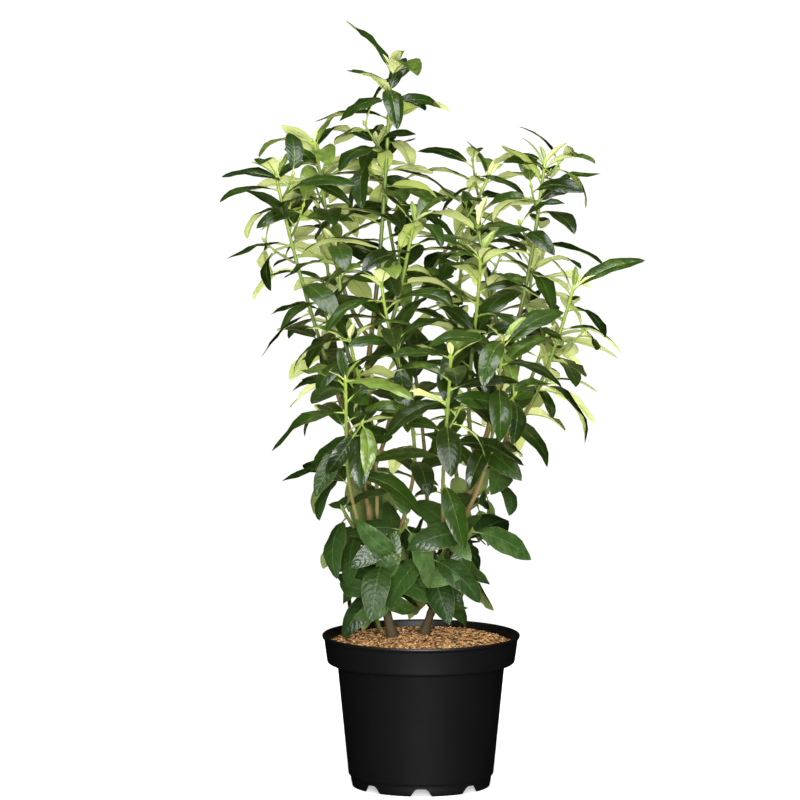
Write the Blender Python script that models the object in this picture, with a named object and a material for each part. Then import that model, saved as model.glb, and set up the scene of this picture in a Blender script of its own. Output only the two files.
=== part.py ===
"""Potted cherry laurel: a young evergreen shrub of several stems in a round nursery pot.

Metres, +Z up. The pot stands on z = 0 with its axis on the Z axis, and the front is -Y.
Two woody stems rise from the bark mulch and boughs leave them. Each mass of foliage is
one leafy shoot: a green stem with folded, arching leaves set round it in a spiral.
"""
import collections
import math
import random

import bmesh
import bpy
from mathutils import Vector
from mathutils.bvhtree import BVHTree
from mathutils.geometry import intersect_point_line

# Room left between two pieces that rest against each other
CLEARANCE = 0.0003

# Pot: 28 cm across its rim, about 10 litres, moulded with one thin wall
POT_SIDES = 32
POT_HEIGHT = 0.216
RIM_RADIUS = 0.140
COLLAR_TOP_RADIUS = 0.1372
COLLAR_FOOT_RADIUS = 0.133
COLLAR_FOOT = 0.1790
SHOULDER = 0.1745
WALL_TOP_RADIUS = 0.1185
WALL_FOOT_RADIUS = 0.1028
WALL_FOOT = 0.017
FOOT_RADIUS = 0.0978
FOOT_STEP_RADIUS = 0.0994
FOOT_STEP = 0.009
FOOT_WALL = 0.0024
WALL = 0.0018
LIP = 0.0055
LIP_HEIGHT = 0.0015
RIM_UNDERSIDE = 0.212
RIM_SHOULDER = 0.2152
RIM_CURL = 0.002
FLOOR_UNDERSIDE = 0.0115
FLOOR = 0.014
HUB_RADIUS = 0.018
DRAIN_NOTCHES = 8
NOTCH_HEIGHT = 0.0106
NOTCH_TOP_WIDTH = 0.016
NOTCH_BEND_WIDTH = 0.020
NOTCH_BEND = 0.0074
NOTCH_FOOT_WIDTH = 0.033
NOTCH_OVERRUN = 0.006
NOTCH_BELOW = 0.002

# Filling: peat-based growing medium under a layer of bark chips that is domed a little
MULCH_TOP = 0.210
MULCH_EDGE = 0.199
MULCH_DOME = ((0.127, 0.2055), (0.117, 0.2085), (0.100, 0.210))
MEDIUM_TOP = 0.186
MEDIUM_BEVEL = 0.006
LEDGE_PLAY = 0.003

# Woody stems stand on the mulch at (x, y), and boughs leave a limb at a share of its
# length. Tip in metres, bow of the middle off the straight line, foot and tip radius.
FLARE = 0.0032
FLARE_SHARE = 0.07
BRANCH_RISE = math.radians(45)
MOST_OFF_CURVE = 0.0007
STEM_OFF_CURVE = 0.0003
FIRST_RING = 2.6
PARTS_OF_LENGTH = 12
STEM_SIDES = 8
BOUGH_SIDES = 5
WOODY_STEMS = (
    ("main_stem", (-0.040, 0.005), (-0.069, 0.015, 0.648), (-0.021, 0.000, 0.0), 0.0066, 0.0036),
    ("right_stem", (0.004, 0.030), (0.132, 0.032, 0.637), (0.004, 0.000, 0.0), 0.0058, 0.0031),
)
BOUGHS = (
    ("bough_left", "main_stem", 0.61, (-0.114, 0.000, 0.545), 0.0034, 0.0028),
    ("bough_front_left", "main_stem", 0.33, (-0.063, -0.034, 0.465), 0.0032, 0.0026),
    ("bough_front", "main_stem", 0.20, (-0.014, -0.050, 0.430), 0.0034, 0.0027),
    ("bough_low_left", "main_stem", 0.24, (-0.095, -0.070, 0.410), 0.0032, 0.0026),
    ("bough_back_left", "main_stem", 0.42, (-0.105, 0.095, 0.500), 0.0032, 0.0026),
    ("bough_behind", "main_stem", 0.52, (-0.024, 0.085, 0.630), 0.0032, 0.0025),
    ("bough_right", "right_stem", 0.55, (0.140, -0.004, 0.516), 0.0034, 0.0028),
    ("bough_front_right", "right_stem", 0.36, (0.088, -0.060, 0.455), 0.0032, 0.0026),
    ("bough_front_middle", "right_stem", 0.22, (0.030, -0.075, 0.410), 0.0032, 0.0026),
    ("bough_back_middle", "right_stem", 0.20, (0.004, 0.085, 0.480), 0.0032, 0.0026),
    ("bough_back", "right_stem", 0.40, (0.045, 0.125, 0.500), 0.0032, 0.0026),
    ("bough_back_right", "right_stem", 0.48, (0.120, 0.100, 0.510), 0.0032, 0.0026),
)

# Leafy shoots grow on from a limb's end (place 1) or leave its side, then turn upwards.
# Limb, place, tip in metres, number of leaves and bare share of the foot. One seed serves
# the whole plant, and each shoot draws from it under its own name.
PLANT_SEED = 951
SHOOT_SIDES = 3
SHOOT_FOOT_RADIUS = 0.0032
SHOOT_TIP_RADIUS = 0.0022
BUD_LENGTH = 0.008
UPWARD_PULL = 0.35
TALL_SHOOTS = (
    ("foliage_leader", "main_stem", 1.00, (-0.042, 0.020, 1.010), 19, 0.10),
    ("foliage_right_leader", "right_stem", 1.00, (0.174, 0.030, 0.880), 16, 0.10),
    ("foliage_left_outer", "bough_left", 1.00, (-0.203, -0.030, 0.868), 17, 0.14),
    ("foliage_left_inner", "main_stem", 0.97, (-0.150, 0.060, 0.905), 15, 0.12),
    ("foliage_right_outer", "bough_right", 1.00, (0.212, -0.030, 0.706), 13, 0.14),
    ("foliage_middle_right", "right_stem", 0.58, (0.082, -0.050, 0.752), 17, 0.08),
    ("foliage_right_inner", "right_stem", 0.95, (0.081, 0.070, 0.785), 13, 0.12),
    ("foliage_front", "bough_front", 1.00, (-0.055, -0.080, 0.716), 17, 0.06),
    ("foliage_front_left", "bough_front_left", 1.00, (-0.099, -0.080, 0.640), 12, 0.06),
    ("foliage_behind_leader", "bough_back_middle", 1.00, (-0.062, 0.070, 0.905), 18, 0.06),
    ("foliage_behind", "bough_behind", 1.00, (0.096, 0.110, 0.857), 15, 0.08),
    ("foliage_low_left", "bough_low_left", 1.00, (-0.105, -0.145, 0.590), 12, 0.14),
    ("foliage_back_left", "bough_back_left", 1.00, (-0.135, 0.165, 0.735), 12, 0.16),
    ("foliage_back", "bough_back", 1.00, (0.060, 0.205, 0.745), 14, 0.08),
    ("foliage_back_right", "bough_back_right", 1.00, (0.160, 0.170, 0.715), 12, 0.16),
    ("foliage_front_right", "bough_front_right", 1.00, (0.112, -0.150, 0.645), 12, 0.14),
    ("foliage_front_middle", "bough_front_middle", 1.00, (0.040, -0.165, 0.625), 14, 0.08),
    ("foliage_left_middle", "main_stem", 0.82, (-0.118, 0.000, 0.760), 11, 0.12),
    ("foliage_upper_middle", "main_stem", 0.90, (-0.010, -0.030, 0.800), 12, 0.12),
    ("foliage_right_low", "bough_right", 0.55, (0.175, 0.060, 0.625), 9, 0.16),
)
LOW_SPRAYS = (
    ("spray_front_a", "main_stem", 0.13, (-0.055, -0.055, 0.330), 8, 0.12),
    ("spray_front_b", "right_stem", 0.12, (0.012, -0.050, 0.345), 8, 0.12),
    ("spray_front_c", "main_stem", 0.26, (-0.020, -0.080, 0.385), 8, 0.12),
    ("spray_right_b", "right_stem", 0.42, (0.112, 0.045, 0.440), 7, 0.15),
    ("spray_left_a", "main_stem", 0.30, (-0.110, -0.015, 0.395), 8, 0.12),
    ("spray_left_b", "main_stem", 0.46, (-0.120, 0.030, 0.465), 8, 0.12),
    ("spray_left_low", "main_stem", 0.16, (-0.090, 0.045, 0.330), 7, 0.15),
    ("spray_back_a", "main_stem", 0.22, (-0.050, 0.085, 0.370), 8, 0.12),
    ("spray_back_b", "right_stem", 0.16, (0.035, 0.100, 0.350), 8, 0.12),
    ("spray_front_d", "right_stem", 0.26, (0.070, -0.060, 0.370), 8, 0.12),
)

# Leaves: two turns hold five, each on a short stalk, widest below its middle. The solid
# blade keeps a share of the fold along its midrib, and its keel is the raised rib below.
SPIRAL = math.radians(144)
SPIRAL_PLAY = math.radians(18)
TIP_CROWDING = 1.25
LAST_LEAF = 0.99
TALL_LENGTH = 0.110
LOW_LENGTH = 0.098
LENGTH_PLAY = 0.16
TALL_WIDTH = 0.32
LOW_WIDTH = 0.38
STALK_LENGTH = 0.012
STALK_RADIUS = 0.0012
STALK_KEEL = 0.0014
BLADE_KEEL = 0.0010
BLADE_SHAPE = ((0.42, 1.00), (0.76, 0.70))
SOLID_FOLD = 0.3
TALL_RISE = (math.radians(8), math.radians(42))
LOW_RISE = (math.radians(-18), math.radians(18))
RISE_PLAY = math.radians(20)
ARCH = math.radians(66)
ARCH_PLAY = math.radians(24)
TALL_ROLL = math.radians(20)
LOW_ROLL = math.radians(20)
TALL_FOLD = math.radians(28)
LOW_FOLD = math.radians(10)
FOLD_PLAY = math.radians(8)

# Turns tried in order, round the stem and upwards, until a leaf touches nothing
WAYS_TO_GROW = tuple(
    (math.radians(round_stem), math.radians(upwards))
    for round_stem, upwards in (
        (0, 0), (12, 0), (-12, 0), (0, 12), (0, -12),
        (22, 10), (-22, 10), (24, -14), (-24, -14), (36, 18), (-36, 18),
    )
)

Leaf = collections.namedtuple("Leaf", "root outward along length width rise arch roll fold")


def clear_scene():
    for thing in list(bpy.data.objects):
        bpy.data.objects.remove(thing, do_unlink=True)


def finish_material(name, colour, roughness):
    """A Principled finish of one colour, in linear red, green and blue."""
    finish = bpy.data.materials.new(name)
    finish.use_nodes = True
    shader = finish.node_tree.nodes["Principled BSDF"]
    shader.inputs["Base Color"].default_value = (*colour, 1)
    shader.inputs["Roughness"].default_value = roughness
    shader.inputs["Metallic"].default_value = 0
    finish.diffuse_color = (*colour, 1)
    return finish


def add_object(name, shape, finish, smooth_angle):
    """Puts a bmesh into the scene as one object, shaded smooth below the given angle."""
    mesh = bpy.data.meshes.new(name)
    shape.to_mesh(mesh)
    shape.free()
    mesh.materials.append(finish)
    mesh.shade_smooth()
    mesh.set_sharp_from_angle(angle=smooth_angle)
    thing = bpy.data.objects.new(name, mesh)
    bpy.context.scene.collection.objects.link(thing)
    return thing


def turned(profile):
    """A round shape spun from its profile of (radius, height) points."""
    shape = bmesh.new()
    points = [shape.verts.new((radius, 0, height)) for radius, height in profile]
    edges = [shape.edges.new(pair) for pair in zip(points, points[1:])]
    bmesh.ops.spin(
        shape,
        geom=points + edges,
        cent=(0, 0, 0),
        axis=(0, 0, 1),
        angle=math.tau,
        steps=POT_SIDES,
        use_merge=True,
    )
    bmesh.ops.remove_doubles(shape, verts=shape.verts, dist=1e-6)
    bmesh.ops.recalc_face_normals(shape, faces=shape.faces)
    return shape


def skin(sections):
    """Points and triangles over rings of equally many points. The last may be a point.

    Each four-sided patch is split along the diagonal that lies further out, so that the
    upper and under side of a twisted blade never cross.
    """
    points = [point for section in sections for point in section]
    size = len(sections[0])
    triangles = [(0, k + 1, k) for k in range(1, size - 1)]
    start = 0
    for lower, upper in zip(sections, sections[1:]):
        middle = sum(lower + upper, Vector()) / (len(lower) + len(upper))
        for k in range(size):
            a, b = start + (k - 1) % size, start + k
            c, d = b + size, a + size
            if len(upper) == 1:
                triangles.append((a, b, start + size))
            elif far_out(points[a], points[c], middle) > far_out(points[b], points[d], middle):
                triangles += [(a, b, c), (a, c, d)]
            else:
                triangles += [(a, b, d), (b, c, d)]
        start += size
    if len(sections[-1]) > 1:
        triangles += [(start, start + k, start + k + 1) for k in range(1, size - 1)]
    return points, triangles


def far_out(one_end, other_end, middle):
    return ((one_end + other_end) / 2 - middle).length


def skinned(sections):
    """A closed shape over rings, with its faces pointing out."""
    shape = bmesh.new()
    points, triangles = skin(sections)
    corners = [shape.verts.new(point) for point in points]
    for triangle in triangles:
        shape.faces.new([corners[k] for k in triangle])
    if shape.calc_volume(signed=True) < 0:
        bmesh.ops.reverse_faces(shape, faces=shape.faces)
    return shape


def inner_wall(height):
    """The radius of the pot's inner face at a height between its floor and shoulder."""
    share = (height - WALL_FOOT) / (SHOULDER - WALL_FOOT)
    return WALL_FOOT_RADIUS + share * (WALL_TOP_RADIUS - WALL_FOOT_RADIUS) - WALL


def inner_collar(height):
    """The radius of the collar's inner face at a height above its foot."""
    share = (height - COLLAR_FOOT) / (POT_HEIGHT - COLLAR_FOOT)
    return COLLAR_FOOT_RADIUS + share * (COLLAR_TOP_RADIUS - COLLAR_FOOT_RADIUS) - WALL


def pot_profile():
    """Standing hub, raised floor, foot ring, tapered wall, shoulder, collar and rolled rim."""
    lip_radius = (COLLAR_FOOT_RADIUS + WALL_TOP_RADIUS) / 2 + LIP
    lip = SHOULDER + LIP_HEIGHT
    return (
        (0, 0),
        (HUB_RADIUS, 0),
        (HUB_RADIUS, FLOOR_UNDERSIDE),
        (FOOT_RADIUS - FOOT_WALL, FLOOR_UNDERSIDE),
        (FOOT_RADIUS - FOOT_WALL, 0),
        (FOOT_RADIUS, 0),
        (FOOT_STEP_RADIUS, FOOT_STEP),
        (WALL_FOOT_RADIUS, WALL_FOOT),
        (WALL_TOP_RADIUS, SHOULDER),
        (lip_radius, lip),
        (COLLAR_FOOT_RADIUS, COLLAR_FOOT),
        (COLLAR_TOP_RADIUS, RIM_UNDERSIDE - RIM_CURL),
        (RIM_RADIUS, RIM_UNDERSIDE),
        (RIM_RADIUS, RIM_SHOULDER),
        (RIM_RADIUS - RIM_CURL, POT_HEIGHT),
        (COLLAR_TOP_RADIUS - WALL, POT_HEIGHT - RIM_CURL),
        (inner_collar(COLLAR_FOOT), COLLAR_FOOT),
        (lip_radius - WALL, lip + WALL),
        (inner_wall(SHOULDER), SHOULDER + WALL),
        (inner_wall(FLOOR), FLOOR),
        (0, FLOOR),
    )


def notch_cutter():
    """A short block across the foot ring, wide below and narrow above."""
    sections = []
    for radius in (FOOT_RADIUS - FOOT_WALL - NOTCH_OVERRUN, FOOT_RADIUS + NOTCH_OVERRUN):
        sections.append([
            Vector((radius, -NOTCH_FOOT_WIDTH / 2, -NOTCH_BELOW)),
            Vector((radius, NOTCH_FOOT_WIDTH / 2, -NOTCH_BELOW)),
            Vector((radius, NOTCH_BEND_WIDTH / 2, NOTCH_BEND)),
            Vector((radius, NOTCH_TOP_WIDTH / 2, NOTCH_HEIGHT)),
            Vector((radius, -NOTCH_TOP_WIDTH / 2, NOTCH_HEIGHT)),
            Vector((radius, -NOTCH_BEND_WIDTH / 2, NOTCH_BEND)),
        ])
    return skinned(sections)


def build_pot():
    """The pot, with drain notches cut through its foot ring at equal turns."""
    plastic = finish_material("black_polypropylene", (0.012, 0.012, 0.012), 0.42)
    pot = add_object("pot", turned(pot_profile()), plastic, math.radians(35))
    for turn in range(DRAIN_NOTCHES):
        cutter = add_object(f"notch_cutter_{turn}", notch_cutter(), plastic, 0)
        cutter.rotation_euler.z = math.tau * turn / DRAIN_NOTCHES
        cutter.hide_render = True
        cutter.display_type = "WIRE"
        cut = pot.modifiers.new(f"notch_{turn}", "BOOLEAN")
        cut.operation = "DIFFERENCE"
        cut.object = cutter
    return pot


def build_growing_medium():
    """Moist peat mix that fills the pot from its floor to under the mulch."""
    peat = finish_material("moist_peat_mix", (0.030, 0.018, 0.010), 0.95)
    bevel_top = FLOOR + MEDIUM_BEVEL
    profile = (
        (0, FLOOR + CLEARANCE),
        (inner_wall(FLOOR) - MEDIUM_BEVEL, FLOOR + CLEARANCE),
        (inner_wall(bevel_top) - CLEARANCE, bevel_top),
        (inner_wall(SHOULDER) - CLEARANCE, SHOULDER + WALL),
        (inner_wall(SHOULDER) - CLEARANCE, SHOULDER + WALL + LEDGE_PLAY),
        (inner_collar(COLLAR_FOOT) - LEDGE_PLAY, COLLAR_FOOT + CLEARANCE),
        (inner_collar(MEDIUM_TOP) - 2 * CLEARANCE, MEDIUM_TOP),
        (0, MEDIUM_TOP),
    )
    return add_object("growing_medium", turned(profile), peat, math.radians(35))


def build_bark_mulch():
    """Bark chips heaped a little higher in the middle than at the wall of the pot."""
    bark = finish_material("pine_bark_chips", (0.300, 0.150, 0.060), 0.85)
    under = MEDIUM_TOP + CLEARANCE
    profile = (
        (0, under),
        (inner_collar(under) - 2 * CLEARANCE, under),
        (inner_collar(MULCH_EDGE) - 2 * CLEARANCE, MULCH_EDGE),
        *MULCH_DOME,
        (0, MULCH_TOP),
    )
    return add_object("bark_mulch", turned(profile), bark, math.radians(35))


class Limb:
    """A round, tapering stem along a smooth curve of four control points."""

    def __init__(self, controls, facing, foot_radius, tip_radius, flare=0.0):
        self.controls = controls
        self.facing = facing
        self.foot_radius = foot_radius
        self.tip_radius = tip_radius
        self.flare = flare

    def centre(self, share):
        a, b, c, d = self.controls
        rest = 1 - share
        return a * rest**3 + b * 3 * rest**2 * share + c * 3 * rest * share**2 + d * share**3

    def heading(self, share):
        a, b, c, d = self.controls
        rest = 1 - share
        slope = (b - a) * rest**2 + (c - b) * 2 * rest * share + (d - c) * share**2
        return slope.normalized()

    def radius(self, share):
        swell = self.flare * max(0.0, 1 - share / FLARE_SHARE) ** 2
        return self.foot_radius + share * (self.tip_radius - self.foot_radius) + swell

    def length(self):
        marks = [self.centre(step / PARTS_OF_LENGTH) for step in range(PARTS_OF_LENGTH + 1)]
        return sum((b - a).length for a, b in zip(marks, marks[1:]))


def across(direction):
    """Two unit directions square to the given one, the first as near to +X as it can be."""
    right = Vector((1, 0, 0))
    if abs(direction.x) > 0.9:
        right = Vector((0, 0, -1))
    first = (right - direction * right.dot(direction)).normalized()
    return first, direction.cross(first)


def ring(centre, direction, radius, sides):
    first, second = across(direction)
    return [
        centre + radius * (first * math.cos(turn) + second * math.sin(turn))
        for turn in (math.tau * k / sides for k in range(sides))
    ]


def evenly_spaced(limb, steps):
    first_share = FIRST_RING * limb.foot_radius / limb.length()
    return [first_share + (1 - first_share) * step / steps for step in range(steps + 1)]


def off_curve(limb, start, end):
    """How far the straight piece between two shares of a limb strays from its curve."""
    middle = limb.centre((start + end) / 2)
    nearest, _ = intersect_point_line(middle, limb.centre(start), limb.centre(end))
    return (middle - nearest).length


def limb_rings(limb, sides):
    """Rings along a limb: the foot's lies flat on what carries it, then come the others."""
    steps = 3
    most = STEM_OFF_CURVE if limb.flare else MOST_OFF_CURVE
    shares = evenly_spaced(limb, steps)
    while max(off_curve(limb, a, b) for a, b in zip(shares, shares[1:])) > most:
        steps += 1
        shares = evenly_spaced(limb, steps)
    if limb.flare:
        shares = [FLARE_SHARE / 3, FLARE_SHARE * 0.8] + shares[1:]
    rings = [ring(limb.centre(0), limb.facing, limb.radius(0), sides)]
    for share in shares:
        rings.append(ring(limb.centre(share), limb.heading(share), limb.radius(share), sides))
    return rings


def stem_from_ground(place, tip, bow, foot_radius, tip_radius):
    """A woody stem with its flat foot and root flare on the mulch."""
    foot = Vector((*place, MULCH_TOP + CLEARANCE))
    tip = Vector(tip)
    third = (tip - foot) / 3
    push = Vector(bow) * 4 / 3
    controls = (foot, foot + third + push, tip - third + push, tip)
    return Limb(controls, Vector((0, 0, 1)), foot_radius, tip_radius, FLARE)


def limb_from_limb(parent, place, tip, foot_radius, tip_radius):
    """A limb that grows on from its parent's end, or leaves its side, and turns upwards."""
    tip = Vector(tip)
    along = parent.heading(place)
    middle = parent.centre(place)
    if place == 1:
        facing = along
        start = along
        foot = middle + along * CLEARANCE
        foot_radius = min(foot_radius, parent.tip_radius)
    else:
        aim = tip - middle
        facing = (aim - along * aim.dot(along)).normalized()
        start = facing * math.cos(BRANCH_RISE) + along * math.sin(BRANCH_RISE)
        foot = middle + facing * (parent.radius(place) + CLEARANCE)
    span = tip - foot
    finish = (span.normalized() + Vector((0, 0, UPWARD_PULL))).normalized()
    reach = span.length / 3
    controls = (foot, foot + start * reach, tip - finish * reach, tip)
    return Limb(controls, facing, foot_radius, tip_radius)


def leaves_of(shoot, name, count, bare, low):
    """The leaves of a shoot, each as a list of the ways it may grow, first choice first."""
    chance = random.Random(f"{name} {PLANT_SEED}")
    turn = chance.uniform(0, math.tau)
    way_round = chance.choice((-1, 1))
    rise_foot, rise_tip = LOW_RISE if low else TALL_RISE
    usual_length = LOW_LENGTH if low else TALL_LENGTH
    width_share = LOW_WIDTH if low else TALL_WIDTH
    fold = LOW_FOLD if low else TALL_FOLD
    roll_play = LOW_ROLL if low else TALL_ROLL
    for rank in range(count):
        share = rank / (count - 1)
        place = bare + (1 - bare) * (1 - (1 - share) ** TIP_CROWDING) * LAST_LEAF
        around = turn + way_round * rank * SPIRAL + chance.uniform(-1, 1) * SPIRAL_PLAY
        rise = rise_foot + share * (rise_tip - rise_foot) + chance.uniform(-1, 1) * RISE_PLAY
        length = usual_length * (1 + chance.uniform(-1, 1) * LENGTH_PLAY)
        arch = ARCH + chance.uniform(-1, 1) * ARCH_PLAY
        roll = chance.uniform(-1, 1) * roll_play
        bend = fold + chance.uniform(-1, 1) * FOLD_PLAY
        along = shoot.heading(place)
        first, second = across(along)
        ways = []
        for more_round, more_rise in WAYS_TO_GROW:
            angle = around + more_round
            outward = first * math.cos(angle) + second * math.sin(angle)
            ways.append(Leaf(
                shoot.centre(place), outward, along, length, length * width_share,
                rise + more_rise, arch, roll, bend,
            ))
        yield ways


def leaf_sections(leaf):
    """Three-point rings, two edges and a keel, from the root in the stem to the leaf's point."""
    side = leaf.outward.cross(leaf.along)
    marks = [(0.0, STALK_RADIUS, STALK_KEEL), (STALK_LENGTH / leaf.length, STALK_RADIUS, STALK_KEEL)]
    marks += [(share, leaf.width / 2 * breadth, BLADE_KEEL) for share, breadth in BLADE_SHAPE]
    sections = []
    for share, half_width, keel in marks:
        centre, direction = midrib(leaf, share)
        upwards = side.cross(direction)
        roll = leaf.roll * share
        edge = side * math.cos(roll) + upwards * math.sin(roll)
        face = upwards * math.cos(roll) - side * math.sin(roll)
        lift = face * half_width * math.sin(leaf.fold * SOLID_FOLD)
        sections.append([centre - edge * half_width + lift, centre - face * keel,
                         centre + edge * half_width + lift])
    sections.append([midrib(leaf, 1.0)[0]])
    return sections


def midrib(leaf, share):
    """Point and direction at a share of a leaf's length: it bends down at an even rate."""
    angle = leaf.rise - leaf.arch * share
    run = (math.sin(leaf.rise) - math.sin(angle)) / leaf.arch * leaf.length
    climb = (math.cos(angle) - math.cos(leaf.rise)) / leaf.arch * leaf.length
    point = leaf.root + leaf.outward * run + leaf.along * climb
    return point, leaf.outward * math.cos(angle) + leaf.along * math.sin(angle)


def touch_tree(sections):
    """A search tree over skinned rings that also feels what comes within the clearance."""
    return BVHTree.FromPolygons(*skin(sections), epsilon=CLEARANCE)


def all_limbs():
    """Every woody stem, bough and shoot stem by name, in growing order."""
    limbs = {}
    for name, place, tip, bow, foot_radius, tip_radius in WOODY_STEMS:
        limbs[name] = stem_from_ground(place, tip, bow, foot_radius, tip_radius)
    for name, parent, place, tip, foot_radius, tip_radius in BOUGHS:
        limbs[name] = limb_from_limb(limbs[parent], place, tip, foot_radius, tip_radius)
    for name, parent, place, tip, *_ in TALL_SHOOTS + LOW_SPRAYS:
        limbs[name] = limb_from_limb(
            limbs[parent], place, tip, SHOOT_FOOT_RADIUS, SHOOT_TIP_RADIUS
        )
    return limbs


def shoot_rings(shoot):
    rings = limb_rings(shoot, SHOOT_SIDES)
    rings.append([shoot.centre(1) + shoot.heading(1) * BUD_LENGTH])
    return rings


def grown_leaves(limbs, pot_pieces):
    """The leaves each shoot keeps: the first way that touches nothing, or none."""
    trees = {}
    for name, *_ in WOODY_STEMS:
        trees[name] = touch_tree(limb_rings(limbs[name], STEM_SIDES))
    for name, *_ in BOUGHS:
        trees[name] = touch_tree(limb_rings(limbs[name], BOUGH_SIDES))
    for name, *_ in TALL_SHOOTS + LOW_SPRAYS:
        trees[name] = touch_tree(shoot_rings(limbs[name]))
    graph = bpy.context.evaluated_depsgraph_get()
    for piece in pot_pieces:
        trees[piece.name] = BVHTree.FromObject(piece, graph, epsilon=CLEARANCE)
    kept = {}
    taken = []
    rows = [(row, False) for row in TALL_SHOOTS] + [(row, True) for row in LOW_SPRAYS]
    for (name, _, _, _, count, bare), low in rows:
        others = [tree for limb, tree in trees.items() if limb != name]
        kept[name] = []
        for ways in leaves_of(limbs[name], name, count, bare, low):
            for leaf in ways:
                sections = leaf_sections(leaf)
                tree = touch_tree(sections)
                middle = midrib(leaf, 0.5)[0]
                near = [
                    other for centre, other in taken if (centre - middle).length < 2 * TALL_LENGTH
                ]
                if not any(tree.overlap(other) for other in others + near):
                    kept[name].append(sections)
                    taken.append((middle, tree))
                    break
    return kept


def keep_largest_body(mesh):
    """Drops loose scraps, and the walls of hollows that were sealed, from a joined mesh."""
    shape = bmesh.new()
    shape.from_mesh(mesh)
    unseen = set(shape.verts)
    bodies = []
    while unseen:
        body = [unseen.pop()]
        for corner in body:
            for edge in corner.link_edges:
                other = edge.other_vert(corner)
                if other in unseen:
                    unseen.remove(other)
                    body.append(other)
        bodies.append(body)
    largest = max(bodies, key=len)
    for body in bodies:
        if body is not largest:
            bmesh.ops.delete(shape, geom=body, context="VERTS")
    shape.to_mesh(mesh)
    shape.free()


def join_by_union(thing, pieces):
    """Fuses the pieces into the object and removes them."""
    group = bpy.data.collections.new(thing.name + "_leaves")
    bpy.context.scene.collection.children.link(group)
    for piece in pieces:
        bpy.context.scene.collection.objects.unlink(piece)
        group.objects.link(piece)
    union = thing.modifiers.new("leaves", "BOOLEAN")
    union.operation = "UNION"
    union.operand_type = "COLLECTION"
    union.collection = group
    union.solver = "MANIFOLD"
    graph = bpy.context.evaluated_depsgraph_get()
    joined = bpy.data.meshes.new_from_object(thing.evaluated_get(graph))
    thing.modifiers.clear()
    thing.data = joined
    keep_largest_body(joined)
    for piece in pieces:
        bpy.data.objects.remove(piece, do_unlink=True)
    bpy.data.collections.remove(group)


def build_plant(pot_pieces):
    bark = finish_material("laurel_bark", (0.230, 0.120, 0.060), 0.80)
    green_stem = finish_material("green_shoot_and_leaf", (0.060, 0.150, 0.035), 0.40)
    low_leaf = finish_material("old_leaf", (0.050, 0.130, 0.045), 0.35)
    limbs = all_limbs()
    for name, *_ in WOODY_STEMS:
        add_object(name, skinned(limb_rings(limbs[name], STEM_SIDES)), bark, math.radians(60))
    for name, *_ in BOUGHS:
        add_object(name, skinned(limb_rings(limbs[name], BOUGH_SIDES)), bark, math.radians(60))
    kept = grown_leaves(limbs, pot_pieces)
    for name, *_ in TALL_SHOOTS + LOW_SPRAYS:
        finish = low_leaf if name.startswith("spray") else green_stem
        shoot = add_object(name, skinned(shoot_rings(limbs[name])), finish, math.radians(50))
        leaves = [
            add_object(f"{name}_leaf_{rank}", skinned(sections), finish, math.radians(50))
            for rank, sections in enumerate(kept[name])
        ]
        join_by_union(shoot, leaves)


def main():
    clear_scene()
    pot_pieces = [build_pot(), build_growing_medium(), build_bark_mulch()]
    build_plant(pot_pieces)


if __name__ == "__main__":
    main()
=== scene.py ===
"""Potted cherry laurel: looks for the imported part, built in the order it is put together."""
import collections
import math
import random

import bmesh
import bpy
import numpy as np
from mathutils import Matrix, Vector, kdtree, noise


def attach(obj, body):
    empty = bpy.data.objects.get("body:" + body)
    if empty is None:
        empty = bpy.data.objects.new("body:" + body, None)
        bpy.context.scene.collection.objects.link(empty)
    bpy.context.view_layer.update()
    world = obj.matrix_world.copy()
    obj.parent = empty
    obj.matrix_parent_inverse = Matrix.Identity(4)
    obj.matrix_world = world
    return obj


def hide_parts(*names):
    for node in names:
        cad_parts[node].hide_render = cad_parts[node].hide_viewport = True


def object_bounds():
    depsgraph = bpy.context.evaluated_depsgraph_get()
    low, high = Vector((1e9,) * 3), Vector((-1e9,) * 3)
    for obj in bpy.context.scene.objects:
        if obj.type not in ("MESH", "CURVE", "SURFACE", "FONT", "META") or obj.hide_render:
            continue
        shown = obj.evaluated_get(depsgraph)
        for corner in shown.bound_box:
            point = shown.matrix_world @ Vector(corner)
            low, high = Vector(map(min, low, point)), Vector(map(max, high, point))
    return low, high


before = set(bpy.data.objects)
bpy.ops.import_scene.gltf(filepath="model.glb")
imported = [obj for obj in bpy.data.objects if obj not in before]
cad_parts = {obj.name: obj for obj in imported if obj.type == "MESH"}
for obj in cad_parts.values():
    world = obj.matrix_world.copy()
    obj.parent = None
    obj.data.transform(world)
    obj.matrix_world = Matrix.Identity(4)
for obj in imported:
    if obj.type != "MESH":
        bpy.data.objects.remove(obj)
cad_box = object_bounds()


# Pot
# A round nursery pot, injection moulded in one piece from black polypropylene. A deep
# collar with a rolled rim stiffens its thin wall, and notches in the foot ring drain it.

POT_STEPS = 144
POT_HEIGHT = 0.216
RIM_RADIUS = 0.140
# The rolled rim, from outside to inside: each point's distance in from the rim and down from its top
RIM_ROLL = (
    (0.0028, 0.0065), (0.0006, 0.0048), (0.0, 0.0025), (0.0008, 0.0007), (0.0026, 0.0), (0.0046, 0.0015),
)
COLLAR_FOOT = 0.1790
COLLAR_FOOT_RADIUS = 0.133
COLLAR_FOOT_INSIDE = 0.1800
SHOULDER = 0.1745
SHOULDER_EDGE = ((0.13025, 0.1753), (0.13245, 0.1770))
SHOULDER_INSIDE = (0.12945, 0.1773)
WALL = 0.0018
WALL_TOP_RADIUS = 0.1185
WALL_FOOT_RADIUS = 0.1028
WALL_FOOT = 0.017
FLOOR_RADIUS = 0.1007
POT_FLOOR = 0.014
FLOOR_UNDERSIDE = 0.0115
FOOT_RADIUS = 0.0978
FOOT_WALL = 0.0024
FOOT_RING = ((0.0994, 0.009), (0.0998, 0.0155))
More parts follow.
